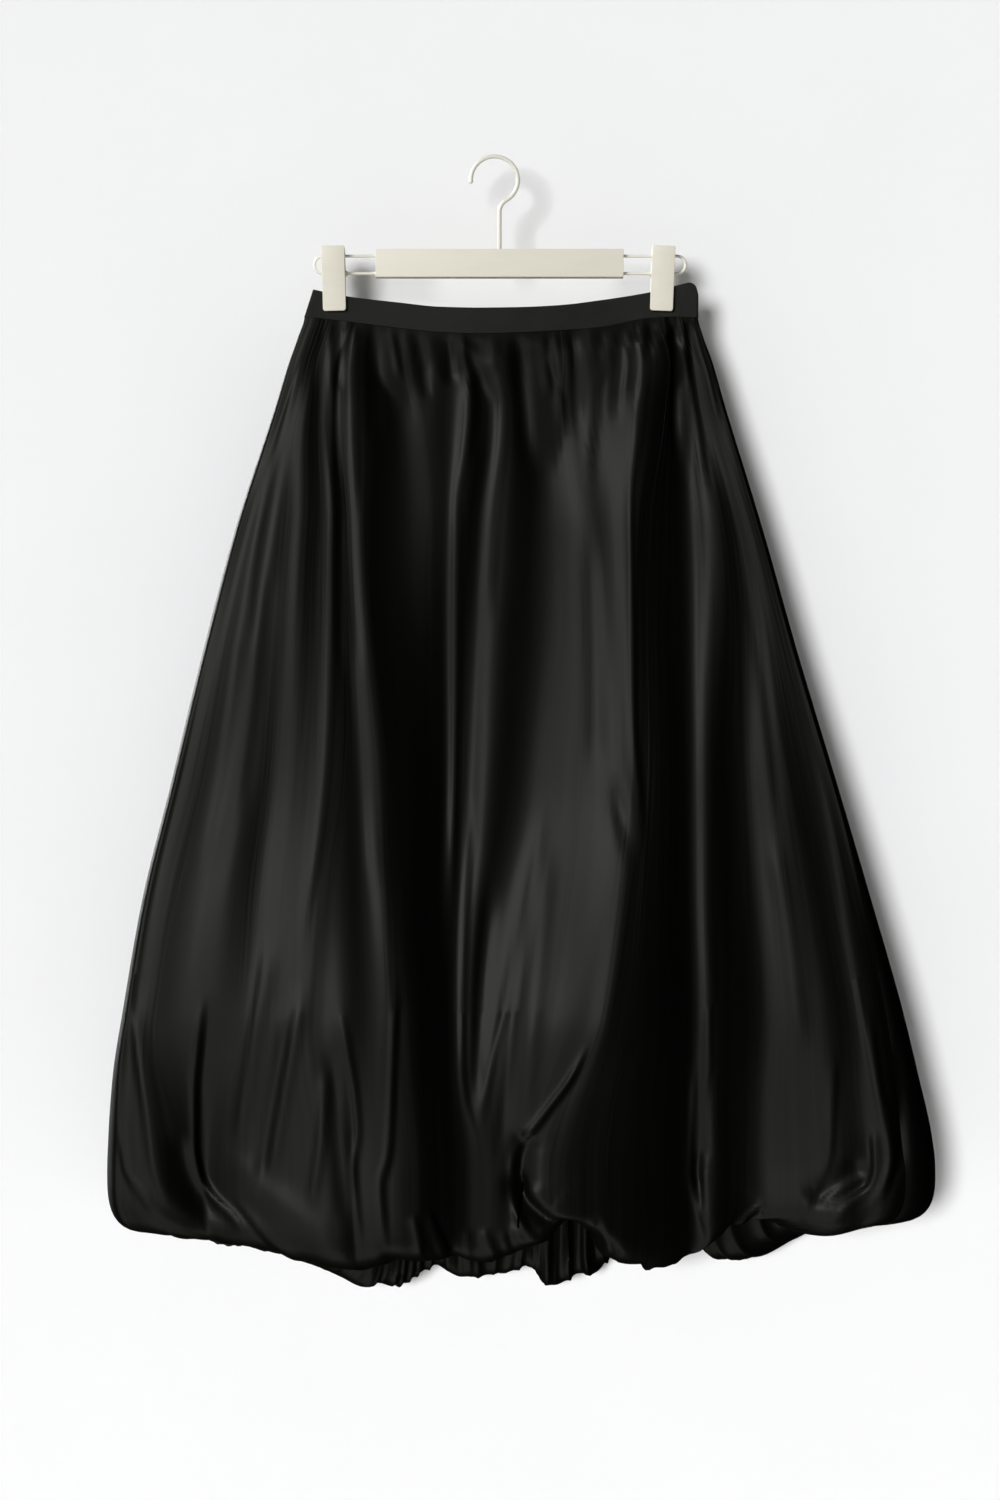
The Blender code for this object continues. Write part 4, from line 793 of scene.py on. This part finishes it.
BAND_TOP = (
    (-162, 117), (-133, 123), (-85, 129), (-49, 133), (-13, 134), (23, 133.5), (59, 131.5),
    (94, 127), (139, 119.5), (165, 113), (174, 111), (179.5, 114), (182, 122),
)
BAND_COLUMNS = 150
BAND_END_STEPS = 10
BAND_END_TURN = 2.6  # length over which a half comes round at its ends
BAND_RISES = 9
BAND_FOLD_STEPS = 6
BAND_WAVE = 0.35  # of the pressed cloth, off its plane
BAND_END_WALL = 0.4  # at a half's very end, before it comes round
HEM_HEIGHT = 22.0
HEM_COLUMNS = 140
BAND_BLACK = (0.0125, 0.013, 0.011, 1)

band_cloth, shader, node, link = new_material("black waistband satin", roughness=0.72, specular=0.12)
place = node("ShaderNodeTexCoord").outputs["Object"]
grain = node("ShaderNodeMapping", [("Vector", place)], Scale=(260, 260, 900)).outputs["Vector"]
threads = node("ShaderNodeTexNoise", [("Vector", grain)], Scale=1, Detail=2, Roughness=0.5)
pressed = node("ShaderNodeTexNoise", [("Vector", place)], Scale=38, Detail=3, Roughness=0.5)
wide = node("ShaderNodeBump", [("Height", pressed.outputs[0])], Strength=1, Distance=0.0009)
fine = node("ShaderNodeBump", [("Height", threads.outputs[0]), ("Normal", wide.outputs[0])],
            Strength=1, Distance=0.00004)
link(fine.outputs[0], shader.inputs["Normal"])
shade = node("ShaderNodeMix", [("Factor", pressed.outputs[0])], data_type="RGBA")
shade.inputs["A"].default_value = [0.8 * c for c in BAND_BLACK[:3]] + [1]
shade.inputs["B"].default_value = [1.2 * c for c in BAND_BLACK[:3]] + [1]
link(shade.outputs["Result"], shader.inputs["Base Color"])


def pressed_band(name, low, high, outer, inner, way):
    """A band between two edges, with its fold at the upper one and both edges closed. low and
    high are points in the middle plane, outer and inner are how far its faces are off it."""
    fold = np.linspace(0, math.pi, BAND_FOLD_STEPS + 1)
    rings = []
    for k in range(len(low)):
        wall = outer[k] - inner[k]
        rise = high[k] - low[k]
        up = rise / np.linalg.norm(rise)
        full = np.linalg.norm(rise) - wall / 2
        shares = np.linspace(0, 1, BAND_RISES)
        wave = BAND_WAVE * math.sin(math.pi * min(1, (k + 1) / 12, (len(low) - k) / 12) / 2) * (
            np.sin(low[k][0] / 17 + 3 * shares) * 0.5 + np.sin(low[k][0] / 41 + 2 * shares + 1)
        ) * np.sin(math.pi * shares)
        ring = [low[k] + up * full * s + way[k] * (outer[k] + w) for s, w in zip(shares, wave)]
        ring += [
            low[k] + up * (full + wall / 2 * math.sin(a)) + way[k] * (outer[k] - wall / 2 * (1 - math.cos(a)))
            for a in fold[1:-1]
        ]
        ring += [low[k] + up * full * s + way[k] * inner[k] for s in shares[::-1]]
        rings.append(ring)
    size = len(rings[0])
    faces = []
    for k in range(len(rings) - 1):
        for i in range(size):
            j = (i + 1) % size
            faces.append((k * size + i, k * size + j, (k + 1) * size + j, (k + 1) * size + i))
    last = (len(rings) - 1) * size
    faces += [tuple(range(size))[::-1], tuple(last + i for i in range(size))]
    mesh = bpy.data.meshes.new(name)
    mesh.from_pydata([tuple(p * MM) for ring in rings for p in ring], [], faces)
    band = bpy.data.objects.new(name, mesh)
    bpy.context.scene.collection.objects.link(band)
    bpy.ops.object.select_all(action="DESELECT")
    bpy.context.view_layer.objects.active = band
    band.select_set(True)
    bpy.ops.object.mode_set(mode="EDIT")
    bpy.ops.mesh.select_all(action="SELECT")
    bpy.ops.mesh.normals_make_consistent(inside=False)
    bpy.ops.object.mode_set(mode="OBJECT")
    bpy.ops.object.shade_smooth_by_angle(angle=math.radians(50))
    band.data.materials.append(band_cloth)
    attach(band, "root")
    return band


ends = np.linspace(0, 1, BAND_END_STEPS, endpoint=False) ** 2 * 0.02
shares = np.concatenate([ends, np.linspace(0.02, 0.98, BAND_COLUMNS), (1 - ends)[::-1]])
knots = np.linspace(0, 1, len(BAND_TOP))
seam_across = smooth(shares, knots, column_of(BAND_SEAM, 0))
top_across = smooth(shares, knots, column_of(BAND_TOP, 0))
top_drop = smooth(shares, knots, column_of(BAND_TOP, 1))
from_end = np.minimum(seam_across - seam_across[0], seam_across[-1] - seam_across)
turned = np.sqrt(1 - (1 - np.clip(from_end / BAND_END_TURN, 0, 1)) ** 2)
bow = waist_bow((seam_across + top_across) / 2)
half_seam = SEAM_GAP / 2
band_outer = half_seam + BAND_END_WALL + (bow + BAND - half_seam - BAND_END_WALL) * turned
band_inner = np.where(from_end < BAND, half_seam, bow)
low = [np.array((a, 0, -d)) for a, d in zip(seam_across, seam_drop(seam_across))]
high = [np.array((a, 0, -d)) for a, d in zip(top_across, top_drop)]
for side, toward in (("front", -1), ("back", 1)):
    way = [np.array((0, toward, 0))] * len(low)
    band = pressed_band(f"waist_{side}", low, high, band_outer, band_inner, way)
    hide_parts(f"waistband_{side}")

for side, toward in (("front", -1), ("back", 1)):
    end_turn = math.asin(half_seam / HEM_HALF_DEPTH)
    angles = np.linspace(-math.pi / 2 + end_turn, math.pi / 2 - end_turn, HEM_COLUMNS + 1)
    across = HEM_MIDDLE + HEM_HALF_WIDTH * np.sin(angles)
    depth = HEM_BACKWARD + toward * HEM_HALF_DEPTH * np.cos(angles)
    out = np.stack([np.sin(angles) / HEM_HALF_WIDTH, toward * np.cos(angles) / HEM_HALF_DEPTH, 0 * angles], 1)
    out /= np.linalg.norm(out, axis=1, keepdims=True)
    out[0], out[-1] = (-1, 0, 0), (1, 0, 0)
    low = [np.array((a, d, -HEM_DROP)) for a, d in zip(across, depth)]
    high = [p + np.array((0, 0, HEM_HEIGHT)) for p in low]
    none = np.zeros(len(low))
    band = pressed_band(f"hem_{side}", low, high, none - BAND_WAVE, none - HEM_BAND, out)
    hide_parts(f"hem_band_{side}")

# ---- Hanger bar -----------------------------------------------------------------------------
# A straight wooden bar, square in section with eased edges and thick cream paint. Its ends are
# drilled for the two wire loops, and its top for the hook.

BAR_MIDDLE = 4.5
BAR_LENGTH = 221.0
BAR_HEIGHT = 25.0
BAR_DEPTH = 13.0
BAR_DROP = 94.0
BAR_EDGE = 1.2
END_RIM = 2.2  # round the slight hollow in each of the bar's ends
END_SLOPE = 0.4
END_HOLLOW = 0.5
CREAM = (0.70, 0.675, 0.58, 1)

cream_paint, shader, node, link = new_material("cream paint", roughness=0.42, specular=0.4)
place = node("ShaderNodeTexCoord").outputs["Object"]
brushed = node("ShaderNodeMapping", [("Vector", place)], Scale=(30, 160, 160)).outputs["Vector"]
strokes = node("ShaderNodeTexNoise", [("Vector", brushed)], Scale=1, Detail=3, Roughness=0.5)
speck = node("ShaderNodeTexNoise", [("Vector", place)], Scale=900, Detail=2, Roughness=0.6)
wide = node("ShaderNodeBump", [("Height", strokes.outputs[0])], Strength=1, Distance=0.00012)
fine = node("ShaderNodeBump", [("Height", speck.outputs[0]), ("Normal", wide.outputs[0])],
            Strength=1, Distance=0.000015)
link(fine.outputs[0], shader.inputs["Normal"])
shade = node("ShaderNodeMix", [("Factor", strokes.outputs[0])], data_type="RGBA")
shade.inputs["A"].default_value = [0.95 * c for c in CREAM[:3]] + [1]
shade.inputs["B"].default_value = [1.04 * c for c in CREAM[:3]] + [1]
link(shade.outputs["Result"], shader.inputs["Base Color"])
gloss = node("ShaderNodeMapRange", [("Value", speck.outputs[0])])
gloss.inputs["To Min"].default_value, gloss.inputs["To Max"].default_value = 0.36, 0.5
link(gloss.outputs[0], shader.inputs["Roughness"])


def choose(piece, kind, wanted):
    """In edit mode, with only those vertices, edges or faces selected whose points all pass."""
    bpy.ops.object.mode_set(mode="EDIT")
    bpy.ops.mesh.select_mode(type=kind)
    bpy.ops.mesh.select_all(action="DESELECT")
    bpy.ops.object.mode_set(mode="OBJECT")
    mesh = piece.data
    for item in {"VERT": mesh.vertices, "EDGE": mesh.edges, "FACE": mesh.polygons}[kind]:
        corners = [item.index] if kind == "VERT" else item.vertices
        item.select = all(wanted(mesh.vertices[c].co / MM) for c in corners)
    bpy.ops.object.mode_set(mode="EDIT")


def close(a, b):
    return abs(a - b) < 0.01


def finish_hard(piece, name, edge, segments, finish):
    """Eases a hard piece's edges, puts its place into its mesh and gives it its paint."""
    bpy.ops.object.mode_set(mode="OBJECT")
    bpy.ops.object.transform_apply(location=True, rotation=True, scale=True)
    if edge:
        easing = piece.modifiers.new("edges", "BEVEL")
        easing.width = edge * MM
        easing.segments = segments
        easing.limit_method = "ANGLE"
        easing.angle_limit = math.radians(40)
        bpy.ops.object.modifier_apply(modifier="edges")
    bpy.ops.object.shade_smooth_by_angle(angle=math.radians(35))
    piece.name = name
    piece.data.materials.append(finish)
    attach(piece, "root")
    return piece


bpy.ops.object.select_all(action="DESELECT")
bpy.ops.mesh.primitive_cube_add(size=MM, location=(BAR_MIDDLE * MM, 0, -BAR_DROP * MM))
bar = bpy.context.object
bar.scale = (BAR_LENGTH, BAR_DEPTH, BAR_HEIGHT)
bpy.ops.object.transform_apply(location=False, rotation=False, scale=True)
for end in (-BAR_LENGTH / 2, BAR_LENGTH / 2):
    choose(bar, "FACE", lambda p: close(p.x, end))
    bpy.ops.mesh.inset(thickness=END_RIM * MM)
    bpy.ops.mesh.inset(thickness=END_SLOPE * MM, depth=-END_HOLLOW * MM)
finish_hard(bar, "bar", BAR_EDGE, 4, cream_paint)
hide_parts("hanger_bar")

# ---- Hook and wire loops --------------------------------------------------------------------
# Round steel wire with a cream coating. The hook is bent over a round former, with a reversed
# neck, and each loop is bent back on itself, with both legs fixed in the bar's end.

HOOK_WIRE = 3.6
HOOK_RADIUS = 21.0
HOOK_TIP_ANGLE = 188.0
HOOK_LEAVE_ANGLE = -60.0
HOOK_NECK_RADIUS = 12.0
HOOK_DEPTH_IN_BAR = 14.0
LOOP_WIRE = 2.7
LOOP_UPPER_DROP = 87.2
LOOP_LOWER_DROP = 102.8
LOOP_ENDS = {"left": -162.0, "right": 172.0}
LOOP_DEPTH_IN_BAR = 28.0
WIRE_SIDES = 24
CREAM_WIRE = (0.73, 0.71, 0.635, 1)

wire_coat, shader, node, link = new_material("cream coated wire", roughness=0.35, specular=0.5)
place = node("ShaderNodeTexCoord").outputs["Object"]
skin = node("ShaderNodeTexNoise", [("Vector", place)], Scale=420, Detail=2, Roughness=0.5)
worn = node("ShaderNodeTexNoise", [("Vector", place)], Scale=60, Detail=2, Roughness=0.5)
fine = node("ShaderNodeBump", [("Height", skin.outputs[0])], Strength=1, Distance=0.00003)
link(fine.outputs[0], shader.inputs["Normal"])
shade = node("ShaderNodeMix", [("Factor", worn.outputs[0])], data_type="RGBA")
shade.inputs["A"].default_value = [0.92 * c for c in CREAM_WIRE[:3]] + [1]
shade.inputs["B"].default_value = [1.05 * c for c in CREAM_WIRE[:3]] + [1]
link(shade.outputs["Result"], shader.inputs["Base Color"])
gloss = node("ShaderNodeMapRange", [("Value", worn.outputs[0])])
gloss.inputs["To Min"].default_value, gloss.inputs["To Max"].default_value = 0.28, 0.42
link(gloss.outputs[0], shader.inputs["Roughness"])


def wire_end(across, height, turn, diameter):
    """The cut end of a wire, as a disc that the wire is then drawn out of."""
    bpy.ops.object.select_all(action="DESELECT")
    bpy.ops.mesh.primitive_circle_add(
        vertices=WIRE_SIDES, radius=diameter / 2 * MM, fill_type="NGON",
        location=(across * MM, 0, height * MM), rotation=(0, math.radians(turn), 0),
    )
    wire = bpy.context.object
    bpy.ops.object.transform_apply(location=True, rotation=True, scale=True)
    bpy.ops.object.mode_set(mode="EDIT")
    bpy.ops.mesh.select_mode(type="FACE")
    bpy.ops.mesh.select_all(action="SELECT")
    return wire


def bend(angle, across, height, steps):
    """Spins the wire's end round a former. The angle is counted clockwise from the front."""
    bpy.ops.mesh.spin(
        steps=steps, angle=-math.radians(angle), center=(across * MM, 0, height * MM), axis=(0, 1, 0)
    )


def draw_out(across, height):
    bpy.ops.mesh.extrude_region_move(TRANSFORM_OT_translate={"value": (across * MM, 0, height * MM)})


def finish_wire(wire, name, edge):
    bpy.ops.mesh.select_all(action="SELECT")
    bpy.ops.mesh.remove_doubles(threshold=0.00001)
    bpy.ops.mesh.normals_make_consistent(inside=False)
    return finish_hard(wire, name, edge, 3, wire_coat)


crown = HOOK_WIRE / 2 - HOOK_RADIUS
tip = math.radians(HOOK_TIP_ANGLE)
leave = math.radians(HOOK_LEAVE_ANGLE)
neck_across = (HOOK_RADIUS + HOOK_NECK_RADIUS) * math.cos(leave)
neck_height = crown + (HOOK_RADIUS + HOOK_NECK_RADIUS) * math.sin(leave)
stem_foot = BAR_HEIGHT / 2 - BAR_DROP - HOOK_DEPTH_IN_BAR
hook = wire_end(
    HOOK_RADIUS * math.cos(tip), crown + HOOK_RADIUS * math.sin(tip), 180 - HOOK_TIP_ANGLE, HOOK_WIRE
)
bend(HOOK_TIP_ANGLE - HOOK_LEAVE_ANGLE, 0, crown, 64)
bend(HOOK_LEAVE_ANGLE, neck_across, neck_height, 18)
draw_out(0, stem_foot - neck_height)
finish_wire(hook, "hook", 0.9)
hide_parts("hanger_hook")

for side, end in LOOP_ENDS.items():
    way = -1 if side == "left" else 1
    turn_radius = (LOOP_LOWER_DROP - LOOP_UPPER_DROP) / 2
    turn_middle = end - way * (turn_radius + LOOP_WIRE / 2)
    inside = BAR_MIDDLE + way * (BAR_LENGTH / 2 - LOOP_DEPTH_IN_BAR)
    loop = wire_end(inside, -LOOP_UPPER_DROP, 90, LOOP_WIRE)
    draw_out(turn_middle - inside, 0)
    bend(way * 180, turn_middle, -(LOOP_UPPER_DROP + LOOP_LOWER_DROP) / 2, 24)
    draw_out(inside - turn_middle, 0)
    finish_wire(loop, f"loop_{side}", 0.5)
    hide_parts(f"wire_loop_{side}")

# ---- Clips ----------------------------------------------------------------------------------
# Two pressed clips, painted cream. Each has two jaws that slant in to the waistband and grip it,
# a saddle between them that slides on its loop's wires, and a small bush round the lower wire.

CLIPS = {"left": (-144.0, -1.3), "right": (151.0, 2.2)}  # middle, and tilt in degrees
CLIP_WIDTH = 20.5
CLIP_TOP_DROP = 79.0
CLIP_FOOT_DROP = 136.5
CLIP_JAW = 2.6
CLIP_TOP_DEPTH = 9.5
CLIP_KNEES = (21.0, 35.0)  # below the top, between which a jaw slants in
CLIP_FOOT_CORNER = 2.4
CLIP_TOP_CORNER = 1.2
SADDLE_HALF = 7.5
BUSH_RADIUS = 2.5
BUSH_WALL = 0.9
BUSH_LENGTH = 5.0

for side, (middle, tilt) in CLIPS.items():
    for face, toward in (("front", -1), ("back", 1)):
        foot_depth = WAIST_HALF_GAP + BAND + SEAM_GAP + CLIP_JAW / 2
        tall = CLIP_FOOT_DROP - CLIP_TOP_DROP
        bpy.ops.object.select_all(action="DESELECT")
        bpy.ops.mesh.primitive_cube_add(size=MM, location=(middle * MM, 0, -CLIP_TOP_DROP * MM))
        jaw = bpy.context.object
        jaw.scale = (CLIP_WIDTH, CLIP_JAW, tall)
        bpy.ops.object.transform_apply(location=False, rotation=False, scale=True)
        bpy.ops.object.mode_set(mode="EDIT")
        bpy.ops.mesh.select_all(action="SELECT")
        bpy.ops.transform.translate(value=(0, toward * foot_depth * MM, -tall / 2 * MM))
        for knee in CLIP_KNEES:
            bpy.ops.mesh.select_all(action="SELECT")
            bpy.ops.mesh.bisect(
                plane_co=(middle * MM, 0, -(CLIP_TOP_DROP + knee) * MM), plane_no=(0, 0, 1)
            )
        choose(jaw, "VERT", lambda p: p.z > -sum(CLIP_KNEES) / 2)
        bpy.ops.transform.translate(value=(0, toward * (CLIP_TOP_DEPTH - CLIP_JAW / 2 - foot_depth) * MM, 0))
        for height, corner in ((-tall, CLIP_FOOT_CORNER), (0, CLIP_TOP_CORNER)):
            for edge in (-CLIP_WIDTH / 2, CLIP_WIDTH / 2):
                choose(jaw, "EDGE", lambda p: close(p.x, edge) and close(p.z, height))
                bpy.ops.mesh.bevel(offset=corner * MM, segments=5, affect="EDGES")
        bpy.ops.object.mode_set(mode="OBJECT")
        jaw.rotation_euler = (0, math.radians(tilt), 0)
        finish_hard(jaw, f"jaw_{side}_{face}", 0.5, 3, cream_paint)
        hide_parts(f"clip_{side}_{face}")
    inward = 1 if side == "left" else -1
    bush_middle = middle + inward * (SADDLE_HALF + BUSH_LENGTH / 2)
    bpy.ops.object.select_all(action="DESELECT")
    bpy.ops.mesh.primitive_cylinder_add(
        vertices=32, radius=BUSH_RADIUS * MM, depth=BUSH_LENGTH * MM, end_fill_type="NOTHING",
        location=(bush_middle * MM, 0, -LOOP_LOWER_DROP * MM), rotation=(0, math.pi / 2, 0),
    )
    bush = bpy.context.object
    wall = bush.modifiers.new("wall", "SOLIDIFY")
    wall.thickness = BUSH_WALL * MM
    wall.offset = -1
    bpy.ops.object.modifier_apply(modifier="wall")
    finish_hard(bush, f"bush_{side}", 0.25, 2, cream_paint)
    bpy.data.objects[f"clip_{side}_saddle"].material_slots[0].material = cream_paint

# ---- Wall and floor -------------------------------------------------------------------------
# A plain white wall close behind the skirt, and a pale floor well below it. From behind, the
# wall is clear, so that it doesn't hide the skirt.

WALL_BEHIND = 0.012
FLOOR_DEPTH = 1.45
STAGE_SIZE = 12

wall_paint, shader, node, link = new_material("white wall", roughness=0.9, specular=0.2)
place = node("ShaderNodeTexCoord").outputs["Object"]
roller = node("ShaderNodeTexNoise", [("Vector", place)], Scale=7, Detail=2, Roughness=0.5)
shade = node("ShaderNodeMix", [("Factor", roller.outputs[0])], data_type="RGBA")
shade.inputs["A"].default_value = (0.775, 0.78, 0.79, 1)
shade.inputs["B"].default_value = (0.795, 0.80, 0.81, 1)
link(shade.outputs["Result"], shader.inputs["Base Color"])
clear = node("ShaderNodeBsdfTransparent")
behind = node("ShaderNodeNewGeometry").outputs["Backfacing"]
either = node("ShaderNodeMixShader", [("Fac", behind), (1, shader.outputs[0]), (2, clear.outputs[0])])
link(either.outputs[0], wall_paint.node_tree.nodes["Material Output"].inputs["Surface"])
floor_paint, shader, node, link = new_material("pale floor", roughness=0.8, specular=0.2)
place = node("ShaderNodeTexCoord").outputs["Object"]
mottle = node("ShaderNodeTexNoise", [("Vector", place)], Scale=9, Detail=3, Roughness=0.5)
shade = node("ShaderNodeMix", [("Factor", mottle.outputs[0])], data_type="RGBA")
shade.inputs["A"].default_value = (0.50, 0.49, 0.475, 1)
shade.inputs["B"].default_value = (0.54, 0.53, 0.515, 1)
link(shade.outputs["Result"], shader.inputs["Base Color"])

bpy.ops.object.select_all(action="DESELECT")
bpy.ops.mesh.primitive_plane_add(
    size=STAGE_SIZE, location=(0, cad_box[1][1] + WALL_BEHIND, -0.5), rotation=(math.pi / 2, 0, 0)
)
backdrop = bpy.context.object
backdrop.name = "wall"
backdrop.data.materials.append(wall_paint)
bpy.ops.mesh.primitive_plane_add(size=STAGE_SIZE, location=(0, 0, -FLOOR_DEPTH))
floor = bpy.context.object
floor.name = "floor"
floor.data.materials.append(floor_paint)
for surface in (backdrop, floor):
    surface.visible_glossy = False
    surface.visible_shadow = False

# ---- Light ----------------------------------------------------------------------------------
# One soft key from the left and a little above, which the folds' left flanks catch, a weak even
# fill, and a key from behind for the skirt's back. Two low soft lights reach only the satin, for
# the underside of its hem. The wall and the floor have keys of their own.


def sunlight(name, strength, softness, left, above):
    """Soft parallel light from so many degrees to the left of the viewer and above."""
    data = bpy.data.lights.new(name, "SUN")
    data.energy = strength
    data.angle = math.radians(softness)
    lamp = bpy.data.objects.new(name, data)
    left, above = math.radians(left), math.radians(above)
    way = Vector((math.sin(left) * math.cos(above), math.cos(left) * math.cos(above), -math.sin(above)))
    lamp.rotation_euler = way.to_track_quat("-Z", "Y").to_euler()
    bpy.context.scene.collection.objects.link(lamp)
    return lamp


key = sunlight("key", strength=3.1, softness=24, left=36, above=20)
fill = sunlight("fill", strength=0.06, softness=90, left=10, above=30)
low = sunlight("low", strength=0.9, softness=40, left=34, above=-16)
under = sunlight("under", strength=1.6, softness=50, left=30, above=-55)
back_key = sunlight("back_key", strength=4.0, softness=30, left=180 - 36, above=20)
wall_key = sunlight("wall_key", strength=2.8, softness=13, left=15, above=3)
only_wall = bpy.data.collections.new("lit by the wall's key")
only_wall.objects.link(backdrop)
but_wall = bpy.data.collections.new("not lit by the skirt's keys")
but_wall.objects.link(backdrop)
but_wall.collection_objects[0].light_linking.link_state = "EXCLUDE"
wall_key.light_linking.receiver_collection = only_wall
for lamp in (key, back_key):
    lamp.light_linking.receiver_collection = but_wall
only_satin = bpy.data.collections.new("lit by the satin's low lights")
for panel in (satin_front, satin_back):
    only_satin.objects.link(panel)
for lamp in (low, under):
    lamp.light_linking.receiver_collection = only_satin
# the bar throws no shadow on the wall
but_bar = bpy.data.collections.new("shades the wall")
but_bar.objects.link(bpy.data.objects["bar"])
but_bar.collection_objects[0].light_linking.link_state = "EXCLUDE"
wall_key.light_linking.blocker_collection = but_bar
floor_key = sunlight("floor_key", strength=1.2, softness=20, left=0, above=80)
only_floor = bpy.data.collections.new("lit by the floor's key")
only_floor.objects.link(floor)
floor_key.light_linking.receiver_collection = only_floor

ROOM_LIGHT = 0.007
ROOM_SEEN = 0.85
room = bpy.data.worlds.new("room")
room.use_nodes = True
tree = room.node_tree
background = tree.nodes["Background"]
background.inputs["Color"].default_value = (0.95, 0.97, 1, 1)
seen = tree.nodes.new("ShaderNodeLightPath").outputs["Is Camera Ray"]
bright = tree.nodes.new("ShaderNodeMapRange")
bright.inputs["To Min"].default_value = ROOM_LIGHT
bright.inputs["To Max"].default_value = ROOM_SEEN
tree.links.new(seen, bright.inputs["Value"])
tree.links.new(bright.outputs[0], background.inputs["Strength"])
bpy.context.scene.world = room
bpy.context.scene.view_settings.view_transform = "Standard"
